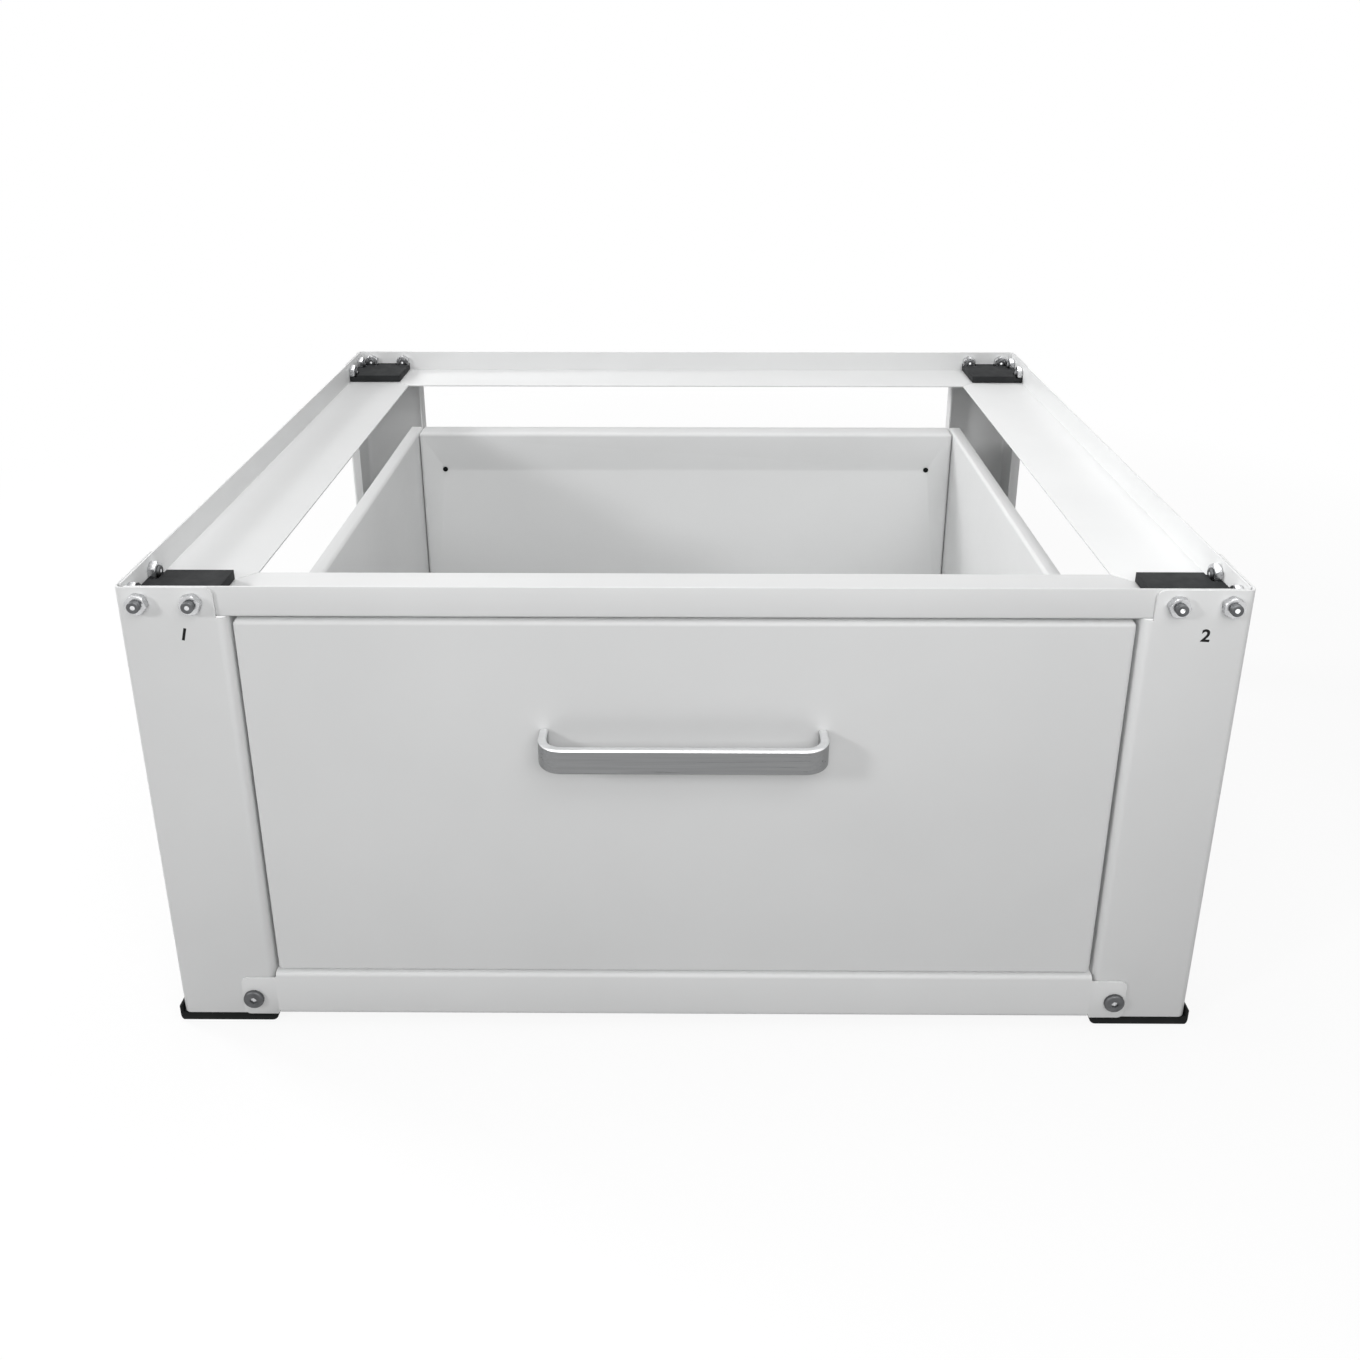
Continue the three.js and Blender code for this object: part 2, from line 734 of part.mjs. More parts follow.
const handleZ = frameHeight - handleTopDrop - handleHeight / 2;
const handleHalf = (handleLength - handleThickness) / 2;
const tabHigh = boxTop - drawerSheet;
const tabMiddle = wallInside - wallTabWidth / 2;
const frontScrews = sides.flatMap(({ name, x }) => [
  { name: `upper_${name}`, x: x * tabMiddle, z: tabHigh - frontScrewDrop },
  { name: `lower_${name}`, x: x * tabMiddle, z: boxBottom + frontScrewDrop },
]);

/** The drawer front: a pan with threaded bosses inside it and two holes for the handle's screws. */
function drawerFront() {
  const half = frontWidth / 2;
  const shell = pan(-half, half, frontBottom, frontTop, frontFace, frontDepth, drawerSheet, frontRadius);
  const hollow = carve([shell.outside], shell.cuts);
  const bossEnd = frontFace + drawerSheet + bossHeight;
  const bossLength = bossHeight + drawerSheet / 2; // rooted in the sheet
  const bosses = frontScrews.map(({ x, z }) =>
    rod('y', bossDiameter, bossLength, x, bossEnd - bossLength / 2, z));
  const threads = frontScrews.map(({ x, z }) =>
    rod('y', frontScrewDiameter + 2 * fit, 2 * bossHeight, x, bossEnd + fit, z));
  const handleHoles = sides.map(({ x }) =>
    rod('y', handleScrewDiameter + 2 * fit, drawerHoleDepth, x * handleHalf, frontFace, handleZ));
  return carve([hollow, ...bosses], [...threads, ...handleHoles]);
}

/** A drawer wall: a flange out at the top and a tab in at the front. */
function drawerWall({ x: sx }) {
  const half = drawerSheet / 2;
  const wall = wallOutside - half;
  const section = foldedSheet(
    [
      [sx * (wallOutside + wallTopFlange), boxTop - half],
      [sx * wall, boxTop - half],
      [sx * wall, boxBottom],
    ],
    drawerSheet,
    foldRadius,
  );
  const sheet = alongY(section, tabFace, boxRear - tabFace);
  const tab = block(
    sx * (wallInside - wallTabWidth),
    sx * wall,
    tabFace,
    tabFace + drawerSheet,
    boxBottom,
    boxTop - foldRadius - half,
  );
  const holes = frontScrews
    .filter(({ x }) => Math.sign(x) === sx)
    .map(({ x, z }) => rod('y', frontScrewDiameter + 2 * fit, drawerHoleDepth, x, tabFace, z));
  return carve([sheet, tab], holes);
}

/** The rear of the drawer: a pan that opens backwards, with two small holes near its top. */
function drawerBack() {
  const half = wallInside - fit;
  const low = floorTop + fit;
  const face = boxRear - backFlange;
  const shell = pan(-half, half, low, low + backHeight, face, backFlange, drawerSheet, backRadius);
  const holeX = half - backHoleInset;
  const holeZ = boxTop - backHoleDrop;
  const holes = sides.map(({ x }) =>
    rod('y', backHoleDiameter, drawerHoleDepth, x * holeX, face, holeZ));
  return carve([shell.outside], [...shell.cuts, ...holes]);
}

/** The floor of the drawer: its two sides are folded down along the walls. */
function drawerFloor() {
  const half = drawerSheet / 2;
  const side = wallInside - fit - half;
  const level = floorTop - half;
  const front = tabFace + drawerSheet + fit;
  const section = foldedSheet(
    [[-side, boxBottom], [-side, level], [side, level], [side, boxBottom]],
    drawerSheet,
    foldRadius,
  );
  return carve([alongY(section, front, boxRear - front)]);
}

/** The handle: a flat bar bent into a bow, with a blind hole in each end. */
function handle() {
  const foot = frontFace - fit;
  const bar = foot - handleReach + handleThickness / 2;
  const section = foldedSheet(
    [[-handleHalf, foot], [-handleHalf, bar], [handleHalf, bar], [handleHalf, foot]],
    handleThickness,
    handleRadius - handleThickness / 2,
    handleSteps,
  );
  const bow = alongZ(section, handleZ - handleHeight / 2, handleHeight);
  const holes = sides.map(({ x }) =>
    rod('y', handleScrewDiameter + 2 * fit, 2 * (handleScrewDepth + fit), x * handleHalf, foot, handleZ));
  return carve([bow], holes);
}

// ---------------------------------------------------------------- assembly

const frame = new THREE.Group();
const drawer = new THREE.Group();
const pedestal = new THREE.Group();
pedestal.position.y = (reachFront - reachRear) / 2;
pedestal.add(frame, drawer);

for (const corner of corners) {
  frame.add(piece(`leg_${corner.name}`, leg(corner), whiteSteel));
  frame.add(piece(`foot_${corner.name}`, foot(corner), footRubber));
  frame.add(piece(`pad_${corner.name}`, pad(corner), padRubber));
}
for (const { name, y } of ends) frame.add(piece(`top_rail_${name}`, topRail('x', y), whiteSteel));
for (const { name, x } of sides) frame.add(piece(`top_rail_${name}`, topRail('y', x), whiteSteel));

const bottomRailShape = bottomRail();
for (const { name, y } of ends) {
  const rail = piece(`bottom_rail_${name}`, bottomRailShape, whiteSteel);
  rail.rotation.z = y > 0 ? Math.PI : 0;
  frame.add(rail);
}
for (const side of sides) frame.add(piece(`side_bar_${side.name}`, sideBar(side), whiteSteel));

// On the front the nuts are outside. On the sides and the rear the low heads are outside, and
// each nut there has a flat towards its neighbour round the corner.
const frontBolt = boltAndNut(boltHeadDiameter, boltHeadHeight, frontNutReach);
const lowBolt = boltAndNut(boltHeadDiameter, lowHeadHeight, nutReach);
let frontBoltCount = 0;
for (const { name, x, y } of corners) {
  const lipX = x * (cornerX - railInner);
  const lipY = y * (cornerY - railInner);
  for (const [label, u] of [['outer', boltNear], ['inner', boltFar]]) {
    const sideBolt = piece(`bolt_${name}_side_${label}`, lowBolt, zinc);
    const sidePlace = new THREE.Vector3(lipX, y * (cornerY - u), boltHeight);
    frame.add(aim(sideBolt, sidePlace, new THREE.Vector3(-x, 0, 0)));

    const endBolt = piece(`bolt_${name}_end_${label}`, y < 0 ? frontBolt : lowBolt, zinc);
    const endPlace = new THREE.Vector3(x * (cornerX - u), y < 0 ? -cornerY : lipY, boltHeight);
    const turn = y < 0 ? frontBoltCount * nutTurnStep : 0;
    frame.add(aim(endBolt, endPlace, new THREE.Vector3(0, -1, 0), turn));
    frontBoltCount += y < 0 ? 1 : 0;
  }
}

const railScrew = boltAndNut(railScrewHeadDiameter, railScrewHeadHeight, nutReach);
for (const { name, x, y } of corners) {
  const screw = piece(`bottom_rail_screw_${name}`, railScrew, zinc);
  const inside = new THREE.Vector3(x * railScrewX, y * (cornerY - frameSheet), railScrewHeight);
  frame.add(aim(screw, inside, new THREE.Vector3(0, -y, 0)));
}

for (const side of sides) {
  frame.add(piece(`slide_outer_${side.name}`, outerMember(side), slideZinc));
  frame.add(piece(`slide_middle_${side.name}`, middleMember(side), slideZinc));
  drawer.add(piece(`slide_inner_${side.name}`, innerMember(side), slideZinc));
  drawer.add(piece(`drawer_side_${side.name}`, drawerWall(side), drawerSteel));
}
drawer.add(piece('drawer_front', drawerFront(), drawerSteel));
drawer.add(piece('drawer_back', drawerBack(), drawerSteel));
drawer.add(piece('drawer_floor', drawerFloor(), drawerSteel));
drawer.add(piece('handle', handle(), aluminium));

const frontScrew = panScrew(
  frontScrewDiameter,
  frontScrewLength,
  frontScrewHeadDiameter,
  frontScrewHeadHeight,
);
for (const { name, x, z } of frontScrews) {
  const screw = piece(`drawer_front_screw_${name}`, frontScrew, zinc);
  const underHead = new THREE.Vector3(x, tabFace + drawerSheet + fit, z);
  drawer.add(aim(screw, underHead, new THREE.Vector3(0, -1, 0)));
}

const handleScrew = panScrew(
  handleScrewDiameter,
  drawerSheet + fit + handleScrewDepth,
  handleScrewHeadDiameter,
  handleScrewHeadHeight,
);
for (const { name, x } of sides) {
  const screw = piece(`handle_screw_${name}`, handleScrew, zinc);
  const underHead = new THREE.Vector3(x * handleHalf, frontFace + drawerSheet + fit, handleZ);
  drawer.add(aim(screw, underHead, new THREE.Vector3(0, -1, 0)));
}

export default pedestal;
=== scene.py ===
"""Looks of the washing machine pedestal.

Powder coated sheet steel, zinc plated fasteners and slides, an aluminium handle, rubber pads and
feet. All lengths are metres. Seen from the front, +X is to the right, -Y is nearer and +Z is up.
"""

import math

import bmesh
import bpy
from mathutils import Matrix, Vector


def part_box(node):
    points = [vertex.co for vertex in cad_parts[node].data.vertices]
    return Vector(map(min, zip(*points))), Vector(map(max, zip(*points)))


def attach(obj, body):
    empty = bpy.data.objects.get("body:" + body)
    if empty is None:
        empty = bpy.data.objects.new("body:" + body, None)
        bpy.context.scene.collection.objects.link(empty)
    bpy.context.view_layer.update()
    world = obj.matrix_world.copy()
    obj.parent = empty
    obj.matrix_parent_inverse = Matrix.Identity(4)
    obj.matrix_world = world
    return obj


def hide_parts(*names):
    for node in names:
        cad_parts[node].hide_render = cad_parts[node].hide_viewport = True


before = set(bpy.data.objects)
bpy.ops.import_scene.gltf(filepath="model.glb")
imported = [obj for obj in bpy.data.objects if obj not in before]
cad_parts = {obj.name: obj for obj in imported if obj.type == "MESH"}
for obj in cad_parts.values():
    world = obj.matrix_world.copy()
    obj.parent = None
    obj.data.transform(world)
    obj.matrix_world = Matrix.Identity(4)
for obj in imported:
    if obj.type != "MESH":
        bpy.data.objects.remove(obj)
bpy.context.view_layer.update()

MM = 0.001
NEAR = 0.02 * MM  # what counts as the same place when a face or an edge is picked
FIT = 0.3 * MM  # room between pieces that lie on each other

# Fold radii are those of the middle of the sheet.
FRAME_SHEET = 1.2 * MM
FRAME_EDGE = 0.22 * MM  # rounding of a cut edge under its paint
LEG_FOLD = 4.0 * MM
LEG_LIP = 9.0 * MM  # on the side of the frame
DRAWER_LIP = 20.0 * MM  # beside the drawer
NOTCH_DEPTH = 18.8 * MM
NOTCH_WIDTH = 6.0 * MM
NOTCH_CORNER = 5.0 * MM
RAIL_FOLD = 1.0 * MM
BOTTOM_RAIL_FOLD = 2.2 * MM
RAIL_END_ROOM = 0.8 * MM
TAB_CORNER = 4.0 * MM
TAB_DROP = 4.0 * MM
BAR_FOLD = 3.2 * MM
BAR_FLANGE = 12.0 * MM

DRAWER_SHEET = 1.0 * MM
DRAWER_EDGE = 0.2 * MM
FRONT_FOLD = 2.3 * MM
WALL_FOLD = 2.2 * MM
WALL_FLANGE = 9.0 * MM
BACK_FOLD = 2.6 * MM
BACK_EDGE = 0.15 * MM
BOSS_RADIUS = 4.5 * MM
BOSS_REACH = 7.0 * MM  # from the face of the drawer front
BOSS_WALL = 2.2 * MM
BOSS_BORE = 5.0 * MM
DRAWER_SCREW_HEIGHT = 0.3  # share of the width of the head
BACK_HOLE = 1.6 * MM
BACK_HOLE_INSET = 22 * MM
BACK_HOLE_DROP = 34 * MM
PLUG_FLANGE = 2.3 * MM
PLUG_FLANGE_HEIGHT = 0.7 * MM
PLUG_STEP = 0.75 * MM  # from the flange in to the stem
PLUG_STEM = 3.0 * MM
PLUG_RIM = 0.9 * MM
PLUG_DISH = 0.3 * MM
PLUG_EDGE = 0.15 * MM
HANDLE_BAR = 5.0 * MM
HANDLE_BEND = 11.5 * MM
HANDLE_EDGE = 1.3 * MM
HANDLE_HIGHLIGHT_DEPTH = 0.9 * MM  # depth of the painted highlight along the upper edge, a brighter copy of the handle's metal

SLIDE_SHEET = 1.2 * MM
SLIDE_FOLD = 1.2 * MM
SLIDE_EDGE = 0.15 * MM
SLIDE_HOLE = 2.2 * MM
SLIDE_SCREW_HEAD = 3.7 * MM
SLIDE_SCREW_HEIGHT = 1.8 * MM
SLIDE_SCREWS = (22 * MM, 150 * MM, 278 * MM, 378 * MM)  # from the front end of the slide
SLIDE_HOLES = (40 * MM, 58 * MM, 118 * MM, 182 * MM, 246 * MM, 310 * MM, 342 * MM)

FOOT_END_ROUND = 4.0 * MM
FOOT_EDGE = 0.6 * MM
PAD_EDGE = 0.9 * MM
POCKET_AT_HEAD = 6.1 * MM
POCKET_AT_NUT = 6.95 * MM

CLAMPED = 2 * FRAME_SHEET + 2 * FIT  # what lies between a bolt's head and its nut
FASTENER_EDGE = 0.12 * MM
NUT_FLATS = 11.0 * MM
NUT_CHAMFER = 0.62 * MM
NUT_TOP = 4.7 * MM
HEAD_DOME = 0.55  # share of the head's height that its rounding takes, and its socket too
SOCKET = 0.36  # share of the head's radius
BOLT_HEAD = 5.5 * MM
BOLT_HEAD_HEIGHT = 3.0 * MM
BOLT_TIP = 7.7 * MM
LOW_HEAD_HEIGHT = 1.6 * MM
LOW_TIP = 6.2 * MM
RAIL_SCREW_HEAD = 6.3 * MM
RAIL_SCREW_HEIGHT = 2.6 * MM
THREAD_RADIUS = 3.5 * MM
THREAD_PITCH = 0.9 * MM
THREAD_ROOT = 0.88  # share of the radius
THREAD_START = 0.2 * MM
THREAD_PLAIN = 1.1 * MM  # the end of the bolt that has no more rings
THREAD_CHAMFER = 0.35 * MM
THREAD_TIP = 0.86  # share of the radius
DIMPLE_RIM = 1.7 * MM
DIMPLE = 0.25 * MM

NUMBER_SIZE = 10.5 * MM
NUMBER_HEIGHT = 0.02 * MM
NUMBER_WEIGHT = 0.28 * MM  # what the outline of a digit is widened by
NUMBER_LIFT = 0.03 * MM  # off the leg's face

WHITE = (1, 1, 1, 1)
WORLD_LIGHT = 0.15
PAPER_GREY = (0.38, 0.38, 0.38, 1)  # what lights the object from below
SHADOW_WHITE = (0.9, 0.9, 0.9, 1)  # what shows the shadow on the paper
GLOW_NEAR = 0.88  # share of glow in the paper close to the object, where its shadow shows

CAMERA_PLACE = (0.002, -0.886, 0.286)  # from the middle of the top of the frame
CAMERA_DOWN = 19.66  # degrees
CAMERA_TURN = 0.37
CAMERA_SENSOR = 36  # millimetres, as is the lens
CAMERA_LENS = 32.6
CAMERA_SHIFT = -0.15

ENDS = {"front": -1, "rear": 1}
SIDES = {"left": -1, "right": 1}


# ------------------------------------------------------------------ modelling by hand

def middle(part):
    if isinstance(part, bmesh.types.BMVert):
        return part.co.copy()
    return sum((v.co for v in part.verts), Vector()) / len(part.verts)


def select(kind, test):
    """In edit mode: selects the vertices, edges or faces whose middle passes the test."""
    bpy.ops.mesh.select_mode(type=kind)
    bpy.ops.mesh.select_all(action="DESELECT")
    shape = bmesh.from_edit_mesh(bpy.context.object.data)
    for part in {"VERT": shape.verts, "EDGE": shape.edges, "FACE": shape.faces}[kind]:
        if test(middle(part)):
            part.select_set(True)
    bmesh.update_edit_mesh(bpy.context.object.data)


def alone():
    if bpy.context.object and bpy.context.object.mode != "OBJECT":
        bpy.ops.object.mode_set(mode="OBJECT")
    bpy.ops.object.select_all(action="DESELECT")


def settle(name):
    """Names the newest object and puts its place, turn and size into its mesh."""
    piece = bpy.context.object
    piece.name = name
    piece.data.name = name
    bpy.ops.object.transform_apply(location=True, rotation=True, scale=True)
    return piece


def edit(piece):
    alone()
    bpy.context.view_layer.objects.active = piece
    piece.select_set(True)
    bpy.ops.object.mode_set(mode="EDIT")


def with_modifier(piece, kind, **settings):
    alone()
    bpy.context.view_layer.objects.active = piece
    piece.select_set(True)
    modifier = piece.modifiers.new(kind.lower(), kind)
    for key, value in settings.items():
        setattr(modifier, key, value)
    bpy.ops.object.modifier_apply(modifier=modifier.name)


def cut_with(piece, *cutters, operation="DIFFERENCE"):
    for cutter in cutters:
        with_modifier(piece, "BOOLEAN", object=cutter, operation=operation, solver="EXACT")
        bpy.data.objects.remove(cutter, do_unlink=True)


def join(piece, *others):
    alone()
    for other in others:
        other.select_set(True)
    piece.select_set(True)
    bpy.context.view_layer.objects.active = piece
    bpy.ops.object.join()
    return piece


def soften(piece, width, segments=2, corner=50, smooth=34):
    """Rounds the sharp edges a little and shades the folds smooth."""
    edit(piece)
    bpy.ops.mesh.select_all(action="SELECT")
    bpy.ops.mesh.remove_doubles(threshold=0.002 * MM)
    bpy.ops.mesh.normals_make_consistent(inside=False)
    bpy.ops.object.mode_set(mode="OBJECT")
    with_modifier(piece, "BEVEL", width=width, segments=segments, limit_method="ANGLE",
                  angle_limit=math.radians(corner), harden_normals=False)
    bpy.ops.object.shade_smooth_by_angle(angle=math.radians(smooth))
    return piece


def block(name, low, high):
    alone()
    low, high = Vector(low), Vector(high)
    bpy.ops.mesh.primitive_cube_add(size=1, location=(low + high) / 2)
    bpy.context.object.scale = high - low
    return settle(name)


def rod(name, radius, start, end, sides=32):
    """A cylinder from one point to another."""
    alone()
    start, end = Vector(start), Vector(end)
    along = end - start
    bpy.ops.mesh.primitive_cylinder_add(
        vertices=sides, radius=radius, depth=along.length, location=(start + end) / 2,
        rotation=along.to_track_quat("Z", "Y").to_euler())
    return settle(name)


def folded(name, path, run, radius, steps=6):
    """The middle of a folded sheet: a plane along the first leg of the path, then one flap
    extruded for each further leg, and every fold rounded."""
    alone()
    leg = path[1] - path[0]
    turn = Matrix((leg.normalized(), run.normalized(), leg.cross(run).normalized())).transposed()
    bpy.ops.mesh.primitive_plane_add(
        size=1, location=(path[0] + path[1] + run) / 2, rotation=turn.to_euler())
    bpy.context.object.scale = (leg.length, run.length, 1)
    sheet = settle(name)
    edit(sheet)
    for here, there in zip(path[1:], path[2:]):
        select("EDGE", lambda m: (m - here - run / 2).length < NEAR)
        bpy.ops.mesh.extrude_region_move(TRANSFORM_OT_translate={"value": there - here})
    folds = [point + run / 2 for point in path[1:-1]]
    select("EDGE", lambda m: any((m - fold).length < NEAR for fold in folds))
    bpy.ops.mesh.bevel(offset=radius, segments=steps, affect="EDGES")
    return sheet


def thicken(sheet, thickness):
    with_modifier(sheet, "SOLIDIFY", thickness=thickness, offset=0, use_even_offset=True)


def extrude(value):
    bpy.ops.mesh.extrude_region_move(TRANSFORM_OT_translate={"value": value})


def seat(piece, point, direction, turn=0.0):
    """Moves a piece that was made round +Z to a point, with its +Z along a direction."""
    aim = Vector(direction).to_track_quat("Z", "Y").to_matrix().to_4x4()
    alone()
    piece.matrix_world = Matrix.Translation(point) @ aim @ Matrix.Rotation(turn, 4, "Z")
    piece.select_set(True)
    bpy.context.view_layer.objects.active = piece
    bpy.ops.object.transform_apply(location=True, rotation=True, scale=True)


def coat(piece, finish):
    piece.data.materials.clear()
    piece.data.materials.append(finish)
    return piece


def recoat(piece, finish, test):
    """Gives a second finish to the faces whose middle passes the test."""
    edit(piece)
    select("FACE", test)
    piece.data.materials.append(finish)
    piece.active_material_index = len(piece.data.materials) - 1
    bpy.ops.object.material_slot_assign()
    bpy.ops.object.mode_set(mode="OBJECT")
    return piece


def dress(piece, finish, slot, body, *nodes):
    """Finishes a piece and ties it to its body. Without a finish it keeps those it has."""
    if finish:
        coat(piece, finish)
    if nodes:
        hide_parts(*nodes)
    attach(piece, body)


# ------------------------------------------------------------------ finishes

def new_node(tree, kind, **sockets):
    """A shader node with values for some of its sockets. A name is written with _ for a space."""
    node = tree.nodes.new(kind)
    for socket, value in sockets.items():
        node.inputs[socket.replace("_", " ")].default_value = value
    return node


class Finish:
    """A material whose colour, roughness and bump are painted by noise on the object."""

    ramp_ends = (0.3, 0.7)  # where most values of the noise lie

    def __init__(self, name, metallic=0.0):
        self.material = bpy.data.materials.new(name)
        self.material.use_nodes = True
        self.tree = self.material.node_tree
        self.surface = self.tree.nodes["Principled BSDF"]
        self.surface.inputs["Metallic"].default_value = metallic
        self.place = self.tree.nodes.new("ShaderNodeTexCoord").outputs["Object"]
        self.bumped = None

    def link(self, start, end):
        self.tree.links.new(start, end)

    def noise(self, scale, detail, stretch=(1, 1, 1)):
        mapping = new_node(self.tree, "ShaderNodeMapping", Scale=stretch)
        noise = new_node(self.tree, "ShaderNodeTexNoise", Scale=scale, Detail=detail)
        self.link(self.place, mapping.inputs["Vector"])
        self.link(mapping.outputs["Vector"], noise.inputs["Vector"])
        return noise.outputs["Fac"]

    def ramp(self, value, low, high):
        """Turns a noise into colours or grey levels."""
        ramp = self.tree.nodes.new("ShaderNodeValToRGB")
        for element, place, level in zip(ramp.color_ramp.elements, self.ramp_ends, (low, high)):
            element.position = place
            element.color = (*level, 1)
        self.link(value, ramp.inputs["Fac"])
        return ramp.outputs["Color"]

    def colour(self, value, low, high):
        self.link(self.ramp(value, low, high), self.surface.inputs["Base Color"])

    def roughness(self, value, low, high):
        grey = self.ramp(value, (low,) * 3, (high,) * 3)
        self.link(grey, self.surface.inputs["Roughness"])

    def bump(self, value, strength, distance):
        bump = new_node(self.tree, "ShaderNodeBump", Strength=strength, Distance=distance)
        self.link(value, bump.inputs["Height"])
        if self.bumped:
            self.link(self.bumped, bump.inputs["Normal"])
        self.bumped = bump.outputs["Normal"]
        self.link(self.bumped, self.surface.inputs["Normal"])


def powder_coat(name, low, high):
    """Satin paint with a fine orange peel and long, faint waves in the sheet below it."""
    paint = Finish(name)
    paint.colour(paint.noise(9, 2), low, high)
    paint.roughness(paint.noise(60, 4), 0.42, 0.52)
    paint.bump(paint.noise(7, 1), 0.12, 0.6 * MM)
    paint.bump(paint.noise(750, 2), 0.10, 0.08 * MM)
    return paint.material


def zinc_plate(name, low, high, roughness):
    plate = Finish(name, metallic=1.0)
    plate.colour(plate.noise(160, 5), low, high)
    plate.roughness(plate.noise(420, 4), *roughness)
    plate.bump(plate.noise(900, 3), 0.10, 0.05 * MM)
    return plate.material


def rolled_zinc(name):
    strip = Finish(name, metallic=1.0)
    streaks = strip.noise(220, 5, stretch=(1, 0.03, 1))
    strip.colour(streaks, (0.50, 0.51, 0.53), (0.66, 0.67, 0.69))
    strip.roughness(streaks, 0.24, 0.44)
    strip.bump(streaks, 0.10, 0.03 * MM)
    return strip.material


def brushed_aluminium(name, low, high, metallic):
    bar = Finish(name, metallic=metallic)
    strokes = bar.noise(900, 5, stretch=(0.02, 1, 1))
    bar.colour(strokes, low, high)
    bar.roughness(strokes, 0.27, 0.42)
    bar.bump(strokes, 0.12, 0.02 * MM)
    return bar.material


def moulded_rubber(name, low, high, roughness):
    rubber = Finish(name)
    rubber.surface.inputs["Specular IOR Level"].default_value = 0.1
    rubber.colour(rubber.noise(55, 5), low, high)
    rubber.roughness(rubber.noise(140, 4), *roughness)
    rubber.bump(rubber.noise(1100, 3), 0.35, 0.10 * MM)
    return rubber.material


frame_coat = powder_coat("frame_powder_coat", (0.76, 0.765, 0.765), (0.79, 0.795, 0.795))
drawer_coat = powder_coat("drawer_powder_coat", (0.74, 0.745, 0.745), (0.77, 0.775, 0.775))
bolt_zinc = zinc_plate(
    "bolt_zinc_plate", (0.50, 0.505, 0.515), (0.66, 0.665, 0.675), (0.20, 0.34))
# Zinc painted near black: painted shade in the grooves of the threads and a painted dark reflection
# on the heads of the rail screws, not a darker plating.
shade_dark_zinc = zinc_plate(
    "zinc_painted_dark", (0.085, 0.087, 0.09), (0.15, 0.153, 0.158), (0.40, 0.55))
slide_zinc = rolled_zinc("slide_rolled_zinc")
handle_metal = brushed_aluminium(
    "handle_brushed_aluminium", (0.23, 0.234, 0.238), (0.28, 0.284, 0.288), metallic=0.5)
# A brighter, fully metallic copy of the handle's metal for its upper edge: a painted highlight of
# the light from above.
handle_painted_highlight = brushed_aluminium(
    "handle_edge_painted_highlight", (0.84, 0.845, 0.85), (0.92, 0.925, 0.93), metallic=1.0)
pad_rubber = moulded_rubber(
    "pad_moulded_rubber", (0.022, 0.023, 0.024), (0.030, 0.031, 0.032), (0.55, 0.7))
foot_rubber = moulded_rubber(
    "foot_moulded_rubber", (0.005, 0.006, 0.006), (0.009, 0.010, 0.010), (0.42, 0.6))
number_ink = moulded_rubber(
    "number_ink", (0.012, 0.012, 0.012), (0.022, 0.022, 0.022), (0.5, 0.6))


# ------------------------------------------------------------------ frame

def make_leg(end, side):
    """An L of sheet with a lip on each free edge, notched where the top rails pass."""
    sx, sy = SIDES[side], ENDS[end]
    low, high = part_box(f"leg_{end}_{side}")
    corner = Vector((low.x if sx < 0 else high.x, low.y if sy < 0 else high.y, 0))
    width = high.x - low.x
    half = FRAME_SHEET / 2

    def at(u, v, z):
        return Vector((corner.x - sx * u, corner.y - sy * v, z))

    def from_corner(m):
        return max(sx * (corner.x - m.x), sy * (corner.y - m.y))

    corners = [(width - half, DRAWER_LIP), (width - half, half), (half, half),
               (half, width - half), (LEG_LIP, width - half)]
    sheet = folded(f"leg_sheet_{end}_{side}", [at(u, v, low.z) for u, v in corners],
                   Vector((0, 0, high.z - low.z)), LEG_FOLD)
    notch = high.z - NOTCH_DEPTH
    web_end = width - NOTCH_WIDTH
    bpy.ops.mesh.select_all(action="SELECT")
    bpy.ops.mesh.bisect(plane_co=(0, 0, notch), plane_no=(0, 0, 1))
    for normal in ((1, 0, 0), (0, 1, 0)):
        select("FACE", lambda m: m.z > notch)
        bpy.ops.mesh.bisect(plane_co=at(web_end, web_end, 0), plane_no=normal)
    select("FACE", lambda m: m.z > notch and from_corner(m) > web_end)
    bpy.ops.mesh.delete(type="FACE")
    select("VERT", lambda m: m.z > high.z - NEAR and from_corner(m) > web_end - NEAR)
    bpy.ops.mesh.bevel(offset=NOTCH_CORNER, segments=6, affect="VERTICES")
    thicken(sheet, FRAME_SHEET)

    near, far = at(LEG_FOLD, half, 0), at(width - LEG_FOLD, width - LEG_FOLD, 0)
    alone()
    bpy.ops.mesh.primitive_plane_add(
        size=1, location=((near.x + far.x) / 2, (near.y + far.y) / 2, low.z + half))
    bpy.context.object.scale = (abs(far.x - near.x), abs(far.y - near.y), 1)
    base = settle("leg_base")
    thicken(base, FRAME_SHEET)
    join(sheet, base)
    soften(sheet, FRAME_EDGE)
    dress(sheet, frame_coat, "frame_steel", "frame", f"leg_{end}_{side}")


